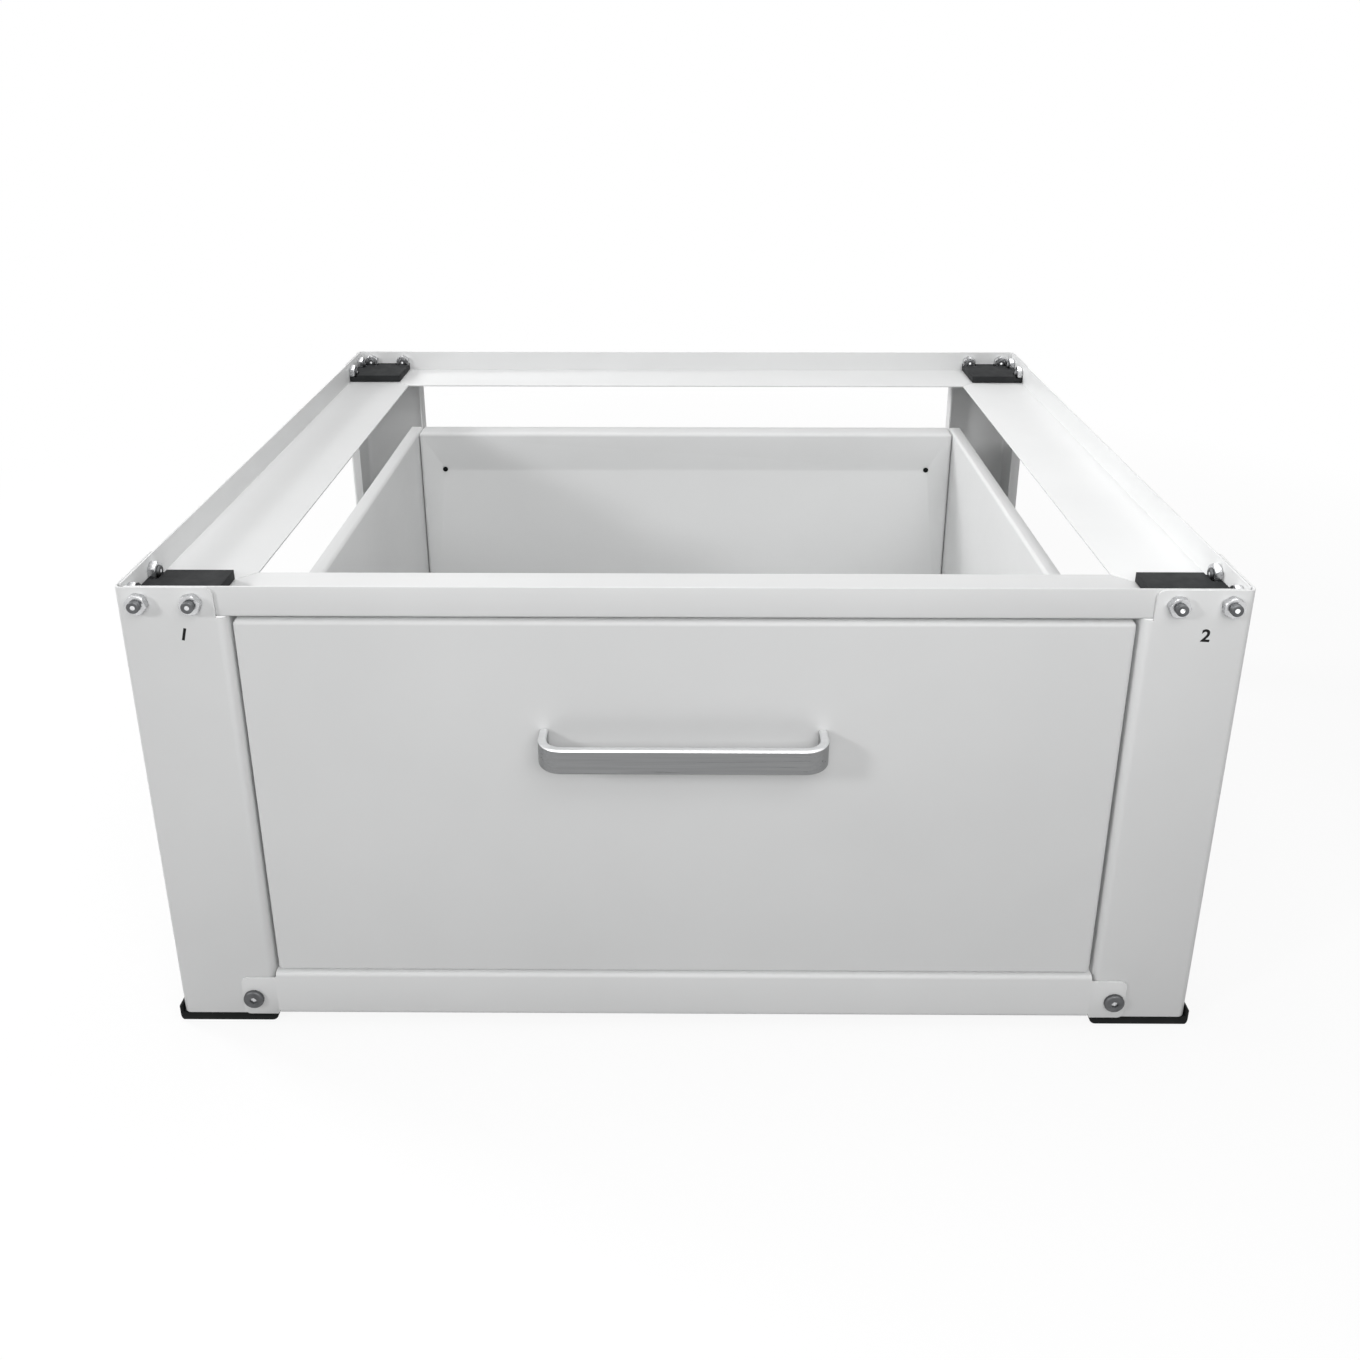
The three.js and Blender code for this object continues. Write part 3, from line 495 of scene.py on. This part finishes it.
def make_top_rail(name, lip_normal):
    """An angle with its upright lip outside and its seat cut off at 45 degrees at both ends."""
    low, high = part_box(f"top_rail_{name}")
    half = FRAME_SHEET / 2
    along_x = lip_normal.x == 0
    sign = lip_normal.x + lip_normal.y
    lip = (low if sign < 0 else high) - lip_normal * half
    edge = high if sign < 0 else low
    seat_z = low.z + half

    def at(across, z):
        return Vector((low.x, across.y, z)) if along_x else Vector((across.x, low.y, z))

    run = Vector((high.x - low.x, 0, 0)) if along_x else Vector((0, high.y - low.y, 0))
    rail = folded(f"top_rail_sheet_{name}", [at(lip, high.z), at(lip, seat_z), at(edge, seat_z)],
                  run, RAIL_FOLD, steps=4)
    for way in (-1, 1):
        other = "left" if way < 0 else "right"
        if along_x:
            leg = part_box(f"leg_{'front' if sign < 0 else 'rear'}_{other}")
            corner = Vector((leg[0].x if way < 0 else leg[1].x,
                             leg[0].y if sign < 0 else leg[1].y, 0))
            start, outward = corner - Vector((way * FIT, 0, 0)), Vector((way, -sign, 0))
        else:
            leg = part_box(f"leg_{'front' if way < 0 else 'rear'}_{'left' if sign < 0 else 'right'}")
            corner = Vector((leg[0].x if sign < 0 else leg[1].x,
                             leg[0].y if way < 0 else leg[1].y, 0))
            start, outward = corner - Vector((0, way * FIT, 0)), Vector((-sign, way, 0))
        select("FACE", lambda m: abs(m.z - seat_z) < NEAR)
        bpy.ops.mesh.bisect(plane_co=start, plane_no=outward.normalized(), clear_outer=True)
    thicken(rail, FRAME_SHEET)
    soften(rail, FRAME_EDGE)
    dress(rail, frame_coat, "frame_steel", "frame", f"top_rail_{name}")


def make_bottom_rail(end):
    """A channel between the legs, with a rounded tab over the face of each leg."""
    sy = ENDS[end]
    low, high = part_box(f"bottom_rail_{end}")
    half = FRAME_SHEET / 2
    face = low.y + half if sy < 0 else high.y - half
    inner = high.y if sy < 0 else low.y
    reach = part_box(f"leg_{end}_right")[0].x - RAIL_END_ROOM
    tip = high.x
    upper, lower = high.z - half, low.z + half
    corners = [(inner, upper), (face, upper), (face, lower), (inner, lower)]
    rail = folded(f"bottom_rail_sheet_{end}", [Vector((-reach, y, z)) for y, z in corners],
                  Vector((2 * reach, 0, 0)), BOTTOM_RAIL_FOLD)
    bend = BOTTOM_RAIL_FOLD + half
    slope = TAB_DROP - bend
    for sx in (-1, 1):
        select("EDGE", lambda m: abs(m.x - sx * reach) < NEAR and abs(m.y - face) < NEAR)
        extrude((sx * slope, 0, 0))
        foot = sx * (reach + slope)
        select("VERT", lambda m: abs(m.x - foot) < NEAR and m.z > low.z + 2 * bend)
        bpy.ops.transform.translate(value=(0, 0, -slope))
        select("VERT", lambda m: abs(m.x - foot) < NEAR and m.z < low.z + 2 * bend)
        bpy.ops.transform.translate(value=(0, 0, -bend))
        select("EDGE", lambda m: abs(m.x - foot) < NEAR)
        extrude((sx * (tip - reach - slope), 0, 0))
        select("VERT", lambda m: abs(m.x - sx * tip) < NEAR)
        bpy.ops.mesh.bevel(offset=TAB_CORNER, segments=6, affect="VERTICES")
    thicken(rail, FRAME_SHEET)
    soften(rail, FRAME_EDGE)
    dress(rail, frame_coat, "frame_steel", "frame", f"bottom_rail_{end}")


def make_side_bar(side):
    """A channel that carries a slide, with a tab on each leg."""
    sx = SIDES[side]
    low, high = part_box(f"side_bar_{side}")
    half = FRAME_SHEET / 2
    wall = high.x - half if sx < 0 else low.x + half
    tab = low.x if sx < 0 else high.x
    front, rear = low.y + half, high.y - half
    base, top = low.z + half, high.z - half
    corners = [(tab, front), (wall, front), (wall, rear), (tab, rear)]
    bar = folded(f"side_bar_sheet_{side}", [Vector((x, y, base)) for x, y in corners],
                 Vector((0, 0, top - base)), BAR_FOLD)
    for level in (base, top):
        select("EDGE", lambda m: abs(m.z - level) < NEAR and abs(m.y - (front + rear) / 2) < NEAR)
        extrude((sx * (BAR_FLANGE - half), 0, 0))
    thicken(bar, FRAME_SHEET)
    soften(bar, FRAME_EDGE)
    dress(bar, frame_coat, "frame_steel", "frame", f"side_bar_{side}")


# ------------------------------------------------------------------ slides

def make_slide_member(part, side, body):
    """A rolled channel with a row of holes. The inner one is screwed to the drawer's wall."""
    sx = SIDES[side]
    node = f"slide_{part}_{side}"
    low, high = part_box(node)
    half = SLIDE_SHEET / 2
    back, edge = (low.x, high.x) if (sx < 0) == (part == "outer") else (high.x, low.x)
    inward = math.copysign(1, edge - back)
    web = back + inward * half
    level = (low.z + high.z) / 2
    upper, lower = high.z - half, low.z + half
    corners = [(edge, upper), (web, upper), (web, lower), (edge, lower)]
    member = folded(f"{node}_channel", [Vector((x, low.y, z)) for x, z in corners],
                    Vector((0, high.y - low.y, 0)), SLIDE_FOLD)
    thicken(member, SLIDE_SHEET)
    for along in SLIDE_HOLES:
        cut_with(member, rod("drill", SLIDE_HOLE, (back - inward * MM, low.y + along, level),
                             (back + inward * 3 * MM, low.y + along, level)))
    soften(member, SLIDE_EDGE)
    coat(member, slide_zinc)
    if part == "inner":
        face = back + inward * (SLIDE_SHEET - NEAR)
        for along in SLIDE_SCREWS:
            head = coat(domed_head(SLIDE_SCREW_HEAD, SLIDE_SCREW_HEIGHT, 0), bolt_zinc)
            seat(head, (face, low.y + along, level), (-inward, 0, 0))
            join(member, head)
    dress(member, None, "slide_zinc", body, node)


# ------------------------------------------------------------------ rubber

def make_foot(end, side):
    """A plate under the leg, rounded under both ends, with a lip up the leg's side."""
    sx = SIDES[side]
    node = f"foot_{end}_{side}"
    low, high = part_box(node)
    leg_low, leg_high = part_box(f"leg_{end}_{side}")
    plate_top = leg_low.z - FIT
    leg_side = leg_low.x - FIT if sx < 0 else leg_high.x + FIT
    outer, inner = (low.x, high.x) if sx < 0 else (high.x, low.x)
    foot = block(f"rubber_{node}", low, (high.x, high.y, plate_top))
    edit(foot)
    bpy.ops.mesh.select_all(action="SELECT")
    bpy.ops.mesh.bisect(plane_co=(leg_side, 0, 0), plane_no=(1, 0, 0))
    select("FACE", lambda m: m.z > plate_top - NEAR and sx * (m.x - leg_side) > 0)
    extrude((0, 0, high.z - plate_top))
    select("EDGE", lambda m: abs(m.z - low.z) < NEAR
           and min(abs(m.x - inner), abs(m.x - outer)) < NEAR)
    bpy.ops.mesh.bevel(offset=FOOT_END_ROUND, segments=6, affect="EDGES")
    soften(foot, FOOT_EDGE, segments=3, corner=55)
    dress(foot, foot_rubber, "foot_rubber", "frame", node)


def make_pad(end, side):
    """A flat pad with its outer corner cut out, hollowed round the bolts beside it."""
    sx, sy = SIDES[side], ENDS[end]
    node = f"pad_{end}_{side}"
    low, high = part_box(node)
    pad = block(f"rubber_{node}", low, high)
    bolts = {place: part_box(f"bolt_{end}_{side}_{place}")
             for place in ("side_outer", "side_inner", "end_outer", "end_inner")}
    nut_tip = bolts["side_outer"][1].x if sx < 0 else bolts["side_outer"][0].x
    outer = low.x if sx < 0 else high.x
    notch = abs(outer - nut_tip) + FIT
    corner = Vector((outer, low.y if sy < 0 else high.y, 0))
    across = sorted((corner.x, corner.x - sx * notch))
    along = sorted((corner.y, corner.y - sy * notch))
    cuts = [block("corner", (across[0] - MM, along[0] - MM, low.z - MM),
                  (across[1] + MM, along[1] + MM, high.z + MM))]
    for place, (a, b) in bolts.items():
        centre = (a + b) / 2
        if place.startswith("end"):
            tip = Vector((centre.x, (b.y if sy < 0 else a.y) - sy * FIT, centre.z))
        else:
            tip = Vector(((b.x if sx < 0 else a.x) - sx * FIT, centre.y, centre.z))
        at_head = sy < 0 and place.startswith("end")
        radius = POCKET_AT_HEAD if at_head else POCKET_AT_NUT
        cuts.append(rod("pocket", radius, centre, tip))
    cut_with(pad, *cuts)
    soften(pad, PAD_EDGE, segments=3, corner=55)
    dress(pad, pad_rubber, "pad_rubber", "frame", node)


# ------------------------------------------------------------------ fasteners

def hex_nut(base, top):
    """A nut round +Z with the corners of both faces turned off."""
    corner = NUT_FLATS / math.sqrt(3)
    nut = rod("nut", corner, (0, 0, base), (0, 0, top), sides=6)
    blank = rod("blank", corner * 0.995, (0, 0, base), (0, 0, top), sides=64)
    edit(blank)
    select("EDGE", lambda m: min(abs(m.z - base), abs(m.z - top)) < NEAR)
    bpy.ops.mesh.bevel(offset=NUT_CHAMFER, segments=1, affect="EDGES")
    bpy.ops.object.mode_set(mode="OBJECT")
    cut_with(nut, blank, operation="INTERSECT")
    soften(nut, FASTENER_EDGE, corner=25, smooth=20)
    return nut


def threaded_end(base, tip):
    """Rings of thread up to a chamfered end with a shallow dimple. The thread wears zinc painted
    dark, painted shade in its grooves; the dimple keeps the plain zinc and shows as a bright centre.
    """
    level = base + THREAD_START
    thread = rod("thread", THREAD_RADIUS * THREAD_ROOT, (0, 0, base), (0, 0, level), sides=40)
    edit(thread)
    wide = False
    while level < tip - THREAD_PLAIN:
        select("FACE", lambda m: m.z > level - NEAR)
        extrude((0, 0, THREAD_PITCH / 2))
        factor = THREAD_ROOT if wide else 1 / THREAD_ROOT
        bpy.ops.transform.resize(value=(factor, factor, 1))
        level += THREAD_PITCH / 2
        wide = not wide
    select("FACE", lambda m: m.z > level - NEAR)
    extrude((0, 0, tip - level - THREAD_CHAMFER))
    bpy.ops.mesh.inset(thickness=0.02 * MM)
    select("FACE", lambda m: m.z > tip - THREAD_CHAMFER - 0.01 * MM)
    extrude((0, 0, THREAD_CHAMFER))
    bpy.ops.transform.resize(value=(THREAD_TIP, THREAD_TIP, 1))
    bpy.ops.mesh.inset(thickness=DIMPLE_RIM, depth=-DIMPLE)
    soften(thread, 0.05 * MM, segments=1, corner=40, smooth=25)
    coat(thread, shade_dark_zinc)
    return recoat(thread, bolt_zinc,
                  lambda m: m.z > tip - 0.3 * MM and m.xy.length < THREAD_RADIUS * 0.3)


def domed_head(radius, height, under):
    """A round head below Z = under, with a hexagon socket in its end."""
    end = under - height
    head = rod("head", radius, (0, 0, end), (0, 0, under), sides=48)
    edit(head)
    select("EDGE", lambda m: abs(m.z - end) < NEAR)
    bpy.ops.mesh.bevel(offset=height * HEAD_DOME, segments=7, affect="EDGES")
    bpy.ops.object.mode_set(mode="OBJECT")
    cut_with(head, rod("socket", radius * SOCKET, (0, 0, end - MM),
                       (0, 0, end + height * HEAD_DOME), sides=6))
    soften(head, FASTENER_EDGE, corner=48, smooth=30)
    return head


def bolt_set(name, head_radius, head_height, tip, head_finish):
    """A bolt along +Z with its nut on Z = 0. Its head lies under what it clamps."""
    nut = hex_nut(FIT, NUT_TOP)
    thread = threaded_end(NUT_TOP - 1.2 * MM, tip)
    head = domed_head(head_radius, head_height, -CLAMPED)
    shank = rod("shank", THREAD_RADIUS * 0.9, (0, 0, -CLAMPED), (0, 0, NUT_TOP - 0.5 * MM))
    for part in (nut, shank):
        coat(part, bolt_zinc)
    coat(head, head_finish)
    # The floor of the socket keeps the plain zinc, a bright dot that is a painted highlight on a
    # head painted dark.
    recoat(head, bolt_zinc, lambda m: m.xy.length < NEAR and m.z > -CLAMPED - head_height / 2)
    bolt = join(nut, thread, head, shank)
    bolt.name = bolt.data.name = name
    return bolt


def copy_of(original, name):
    twin = original.copy()
    twin.data = original.data.copy()
    twin.name = twin.data.name = name
    bpy.context.collection.objects.link(twin)
    return twin


def make_corner_bolts():
    """On the front the nuts are outside. On the sides and the rear the low heads are outside."""
    inside = FRAME_SHEET + FIT + FRAME_SHEET
    front_bolt = bolt_set("front_bolt", BOLT_HEAD, BOLT_HEAD_HEIGHT, BOLT_TIP, bolt_zinc)
    low_bolt = bolt_set("low_bolt", BOLT_HEAD, LOW_HEAD_HEIGHT, LOW_TIP, bolt_zinc)
    turn = 0
    for end, sy in ENDS.items():
        for side, sx in SIDES.items():
            leg_low, leg_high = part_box(f"leg_{end}_{side}")
            for place in ("end_outer", "end_inner", "side_outer", "side_inner"):
                node = f"bolt_{end}_{side}_{place}"
                low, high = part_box(node)
                point = (low + high) / 2
                if place.startswith("side"):
                    point.x = leg_low.x + inside if sx < 0 else leg_high.x - inside
                    nut_way, model, angle = (-sx, 0, 0), low_bolt, 0
                elif end == "rear":
                    point.y = leg_high.y - inside
                    nut_way, model, angle = (0, -1, 0), low_bolt, 0
                else:
                    point.y = leg_low.y
                    nut_way, model, angle = (0, -1, 0), front_bolt, 17 + 23 * turn
                    turn += 1
                bolt = copy_of(model, f"zinc_{node}")
                seat(bolt, point, nut_way, math.radians(angle))
                dress(bolt, None, "fastener_zinc", "frame", node)
    for model in (front_bolt, low_bolt):
        bpy.data.objects.remove(model, do_unlink=True)


def make_bottom_rail_screws():
    """Round heads outside, nuts behind the legs."""
    # Their heads wear the zinc painted dark, a painted dark reflection, with a painted highlight in
    # the socket's floor.
    model = bolt_set("rail_screw", RAIL_SCREW_HEAD, RAIL_SCREW_HEIGHT, LOW_TIP, shade_dark_zinc)
    for end, sy in ENDS.items():
        for side in SIDES:
            node = f"bottom_rail_screw_{end}_{side}"
            low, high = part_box(node)
            point = (low + high) / 2
            leg_low, leg_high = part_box(f"leg_{end}_{side}")
            point.y = leg_low.y + FRAME_SHEET if sy < 0 else leg_high.y - FRAME_SHEET
            screw = copy_of(model, f"zinc_{node}")
            seat(screw, point, (0, -sy, 0), math.radians(11 if side == "left" else 38))
            dress(screw, None, "fastener_zinc", "frame", node)
    bpy.data.objects.remove(model, do_unlink=True)


def make_drawer_screws():
    """The screws inside the drawer front. Their heads look to the rear."""
    for node in [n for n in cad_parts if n.startswith(("drawer_front_screw", "handle_screw"))]:
        low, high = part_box(node)
        width = high.x - low.x
        height = DRAWER_SCREW_HEIGHT * width
        length = high.y - low.y - height
        head = domed_head(width / 2, height, 0)
        shank = rod("shank", width / 4, (0, 0, -0.3 * MM), (0, 0, length), sides=24)
        screw = join(head, shank)
        screw.name = screw.data.name = f"zinc_{node}"
        seat(screw, ((low.x + high.x) / 2, low.y + length, (low.z + high.z) / 2), (0, -1, 0), 0.4)
        dress(screw, bolt_zinc, "fastener_zinc", "drawer", node)


# ------------------------------------------------------------------ drawer

def sheet_pan(name, low, high, radius):
    """A shallow pan of drawer sheet that is open to the rear, with its edges rounded."""
    half = DRAWER_SHEET / 2
    pan = block(name, (low.x + half, low.y + half, low.z + half),
                (high.x - half, high.y, high.z - half))
    edit(pan)
    select("FACE", lambda m: abs(m.y - high.y) < NEAR)
    bpy.ops.mesh.delete(type="FACE")
    select("EDGE", lambda m: abs(m.y - high.y) > NEAR)
    bpy.ops.mesh.bevel(offset=radius, segments=6, affect="EDGES")
    thicken(pan, DRAWER_SHEET)
    return pan


def make_drawer_front():
    """A pan with a bored boss inside for each screw that holds it to the walls."""
    low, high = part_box("drawer_front")
    pan = sheet_pan("drawer_front_pan", low, high, FRONT_FOLD)
    bosses = []
    for node in [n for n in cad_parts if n.startswith("drawer_front_screw")]:
        a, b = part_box(node)
        x, z = (a.x + b.x) / 2, (a.z + b.z) / 2
        face = low.y + DRAWER_SHEET / 2
        boss = rod("boss", BOSS_RADIUS, (x, face, z), (x, low.y + BOSS_REACH, z))
        edit(boss)
        select("FACE", lambda m: m.y > low.y + BOSS_REACH - NEAR)
        bpy.ops.mesh.inset(thickness=BOSS_WALL)
        extrude((0, -BOSS_BORE, 0))
        bosses.append(boss)
    join(pan, *bosses)
    soften(pan, DRAWER_EDGE)
    dress(pan, drawer_coat, "drawer_steel", "drawer", "drawer_front")


def make_drawer_side(side):
    """A wall with a flange outwards on its top and one inwards behind the drawer front."""
    sx = SIDES[side]
    low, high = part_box(f"drawer_side_{side}")
    half = DRAWER_SHEET / 2
    outer, inner = (low.x, high.x) if sx < 0 else (high.x, low.x)
    wall = outer - sx * (WALL_FLANGE + half)
    start = low.y + half
    corners = [(outer, high.z - half), (wall, high.z - half), (wall, low.z)]
    panel = folded(f"drawer_wall_{side}", [Vector((x, start, z)) for x, z in corners],
                   Vector((0, high.y - start, 0)), WALL_FOLD)
    select("EDGE", lambda m: abs(m.y - start) < NEAR and abs(m.x - wall) < NEAR)
    extrude((inner - wall, 0, 0))
    thicken(panel, DRAWER_SHEET)
    soften(panel, DRAWER_EDGE)
    dress(panel, drawer_coat, "drawer_steel", "drawer", f"drawer_side_{side}")


def make_drawer_back():
    """A pan with a hole near each upper corner, each filled by a dark piece that paints the shade
    seen through the hole.
    """
    low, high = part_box("drawer_back")
    pan = sheet_pan("drawer_back_pan", low, high, BACK_FOLD)
    hole_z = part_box("drawer_side_left")[1].z - BACK_HOLE_DROP
    drills = []
    for side, x in (("left", low.x + BACK_HOLE_INSET), ("right", high.x - BACK_HOLE_INSET)):
        drills.append(rod("drill", BACK_HOLE, (x, low.y - MM, hole_z), (x, low.y + 2 * MM, hole_z)))
        make_shade_plug(side, Vector((x, low.y, hole_z)))
    cut_with(pan, *drills)
    soften(pan, BACK_EDGE)
    dress(pan, drawer_coat, "drawer_steel", "drawer", "drawer_back")


def make_shade_plug(side, hole):
    """A small dark rubber piece in a hole of the drawer's back, with a dished flange on its face. It
    is painted shade: a dark piece where the hole shows only shade.
    """
    face = hole - Vector((0, PLUG_FLANGE_HEIGHT, 0))
    plug = rod(f"drawer_back_hole_shade_{side}", PLUG_FLANGE, face, hole - Vector((0, NEAR, 0)))
    edit(plug)
    select("FACE", lambda m: m.y > hole.y - 2 * NEAR)
    bpy.ops.mesh.inset(thickness=PLUG_STEP)
    extrude((0, PLUG_STEM, 0))
    select("FACE", lambda m: m.y < face.y + NEAR)
    bpy.ops.mesh.inset(thickness=PLUG_RIM, depth=-PLUG_DISH)
    soften(plug, PLUG_EDGE)
    dress(plug, foot_rubber, "foot_rubber", "drawer")


def make_handle():
    """A flat bar bent into a bow. Its face wears the darker copy of the metal and its upper edge a
    brighter one, a painted highlight.
    """
    low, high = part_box("handle")
    half = HANDLE_BAR / 2
    left, right, bar = low.x + half, high.x - half, low.y + half
    path = [(left, high.y), (left, bar), (right, bar), (right, high.y)]
    bow = folded("handle_bow", [Vector((x, y, low.z)) for x, y in path],
                 Vector((0, 0, high.z - low.z)), HANDLE_BEND, steps=14)
    thicken(bow, HANDLE_BAR)
    soften(bow, HANDLE_EDGE, segments=5)
    coat(bow, handle_metal)
    recoat(bow, handle_painted_highlight, lambda m: m.z > high.z - HANDLE_HIGHLIGHT_DEPTH)
    dress(bow, None, "handle_aluminium", "drawer", "handle")


# ------------------------------------------------------------------ numbers on the front legs

def make_number(digit, side, inset, drop, tilt):
    """A digit on a front leg, at a distance in from the leg's outer edge and down from its top."""
    low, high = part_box(f"leg_front_{side}")
    x = low.x + inset if side == "left" else high.x - inset
    alone()
    bpy.ops.object.text_add(location=(x, low.y - NUMBER_LIFT, high.z - drop),
                            rotation=(math.pi / 2, 0, 0))
    text = bpy.context.object
    text.data.body = digit
    text.data.size = NUMBER_SIZE
    text.data.extrude = NUMBER_HEIGHT
    text.data.offset = NUMBER_WEIGHT
    text.data.align_x = "CENTER"
    text.data.align_y = "CENTER"
    bpy.ops.object.convert(target="MESH")
    number = bpy.context.object
    number.matrix_world = number.matrix_world @ Matrix.Rotation(math.radians(tilt), 4, "Z")
    settle(f"number_{side}")
    dress(number, number_ink, "foot_rubber", "frame")


# ------------------------------------------------------------------ the object

for end in ENDS:
    for side in SIDES:
        make_leg(end, side)
        make_foot(end, side)
        make_pad(end, side)
    make_bottom_rail(end)
make_top_rail("front", Vector((0, -1, 0)))
make_top_rail("rear", Vector((0, 1, 0)))
make_top_rail("left", Vector((-1, 0, 0)))
make_top_rail("right", Vector((1, 0, 0)))
for side in SIDES:
    make_side_bar(side)
    make_slide_member("outer", side, "frame")
    make_slide_member("inner", side, "drawer")
    make_drawer_side(side)
make_drawer_front()
make_drawer_back()
make_handle()
make_corner_bolts()
make_bottom_rail_screws()
make_drawer_screws()
make_number("1", "left", inset=36 * MM, drop=29 * MM, tilt=-14)
make_number("2", "right", inset=25 * MM, drop=28 * MM, tilt=-4)

for side in SIDES:
    coat(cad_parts[f"slide_middle_{side}"], slide_zinc)
coat(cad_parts["drawer_floor"], drawer_coat)


# ------------------------------------------------------------------ studio

def pale_everywhere(tree, lit, shown):
    """Camera, mirror and glass rays see one shader; every other ray sees the lit one."""
    rays = tree.nodes.new("ShaderNodeLightPath").outputs
    seen = rays["Is Camera Ray"]
    for ray in ("Is Glossy Ray", "Is Transmission Ray"):
        either = tree.nodes.new("ShaderNodeMath")
        either.operation = "MAXIMUM"
        tree.links.new(seen, either.inputs[0])
        tree.links.new(rays[ray], either.inputs[1])
        seen = either.outputs[0]
    return mix_shaders(tree, seen, lit, shown)


def mix_shaders(tree, share, first, second):
    mix = tree.nodes.new("ShaderNodeMixShader")
    for socket, source in zip(mix.inputs, (share, first, second)):
        tree.links.new(source, socket)
    return mix.outputs[0]


def make_world():
    world = bpy.data.worlds.new("studio")
    bpy.context.scene.world = world
    world.use_nodes = True
    tree = world.node_tree
    tree.nodes.clear()
    out = tree.nodes.new("ShaderNodeOutputWorld")
    soft = new_node(tree, "ShaderNodeBackground", Color=WHITE, Strength=WORLD_LIGHT)
    white = new_node(tree, "ShaderNodeBackground", Color=WHITE, Strength=1.0)
    tree.links.new(pale_everywhere(tree, soft.outputs[0], white.outputs[0]), out.inputs["Surface"])


def make_floor():
    """White paper that glows for the camera, a little less near the object so that a faint shadow
    shows. Its matt grey side lights the object from below."""
    alone()
    bpy.ops.mesh.primitive_plane_add(size=60, location=(0, 0, 0))
    floor = settle("studio_floor")
    paper = bpy.data.materials.new("floor_paper")
    paper.use_nodes = True
    tree = paper.node_tree
    tree.nodes.clear()
    out = tree.nodes.new("ShaderNodeOutputMaterial")
    matt = new_node(tree, "ShaderNodeBsdfDiffuse", Color=PAPER_GREY)
    white = new_node(tree, "ShaderNodeBsdfDiffuse", Color=SHADOW_WHITE)
    glow = new_node(tree, "ShaderNodeEmission", Color=WHITE, Strength=1.0)
    place = tree.nodes.new("ShaderNodeTexCoord")
    reach = new_node(tree, "ShaderNodeMapping", Scale=(0.8, 0.8, 0.8))
    sphere = tree.nodes.new("ShaderNodeTexGradient")
    sphere.gradient_type = "SPHERICAL"
    near = new_node(tree, "ShaderNodeMapRange", From_Max=0.45, To_Min=1.0, To_Max=GLOW_NEAR)
    tree.links.new(place.outputs["Object"], reach.inputs["Vector"])
    tree.links.new(reach.outputs["Vector"], sphere.inputs["Vector"])
    tree.links.new(sphere.outputs["Fac"], near.inputs["Value"])
    shown = mix_shaders(tree, near.outputs["Result"], white.outputs[0], glow.outputs[0])
    tree.links.new(pale_everywhere(tree, matt.outputs[0], shown), out.inputs["Surface"])
    floor.data.materials.append(paper)


def make_lamp(name, place, target, size, watts):
    """A soft, rectangular lamp turned to a target."""
    light = bpy.data.lights.new(name, "AREA")
    light.shape = "RECTANGLE"
    light.size, light.size_y = size
    light.energy = watts
    lamp = bpy.data.objects.new(name, light)
    bpy.context.collection.objects.link(lamp)
    lamp.location = place
    lamp.rotation_euler = (Vector(target) - Vector(place)).to_track_quat("-Z", "Y").to_euler()


def make_camera():
    front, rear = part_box("leg_front_left"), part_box("leg_rear_left")
    camera = bpy.data.objects.new("camera", bpy.data.cameras.new("camera"))
    bpy.context.collection.objects.link(camera)
    camera.data.sensor_width = CAMERA_SENSOR
    camera.data.lens = CAMERA_LENS
    camera.data.shift_y = CAMERA_SHIFT
    camera.location = (CAMERA_PLACE[0], (front[0].y + rear[1].y) / 2 + CAMERA_PLACE[1],
                       front[1].z + CAMERA_PLACE[2])
    camera.rotation_euler = (math.radians(90 - CAMERA_DOWN), 0, math.radians(CAMERA_TURN))
    bpy.context.scene.camera = camera


make_world()
make_floor()
make_lamp("key_softbox", (-2.2, -1.8, 1.4), (0, 0, 0.2), (0.4, 0.4), 19.5)
make_lamp("left_rear_softbox", (-2.3, 0.9, 1.1), (0, 0, 0.25), (0.6, 0.6), 37)
make_lamp("overhead_softbox", (0.1, 0.3, 2.6), (0, 0, 0.3), (2.2, 1.8), 32)
make_lamp("front_softbox", (0.3, -1.1, 1.3), (0, -0.25, 0.25), (1.2, 0.4), 3.7)
make_lamp("low_front_softbox", (0.2, -1.3, 0.84), (0, -0.25, 0.25), (1.2, 0.4), 6)
make_camera()
bpy.context.scene.view_settings.view_transform = "Standard"
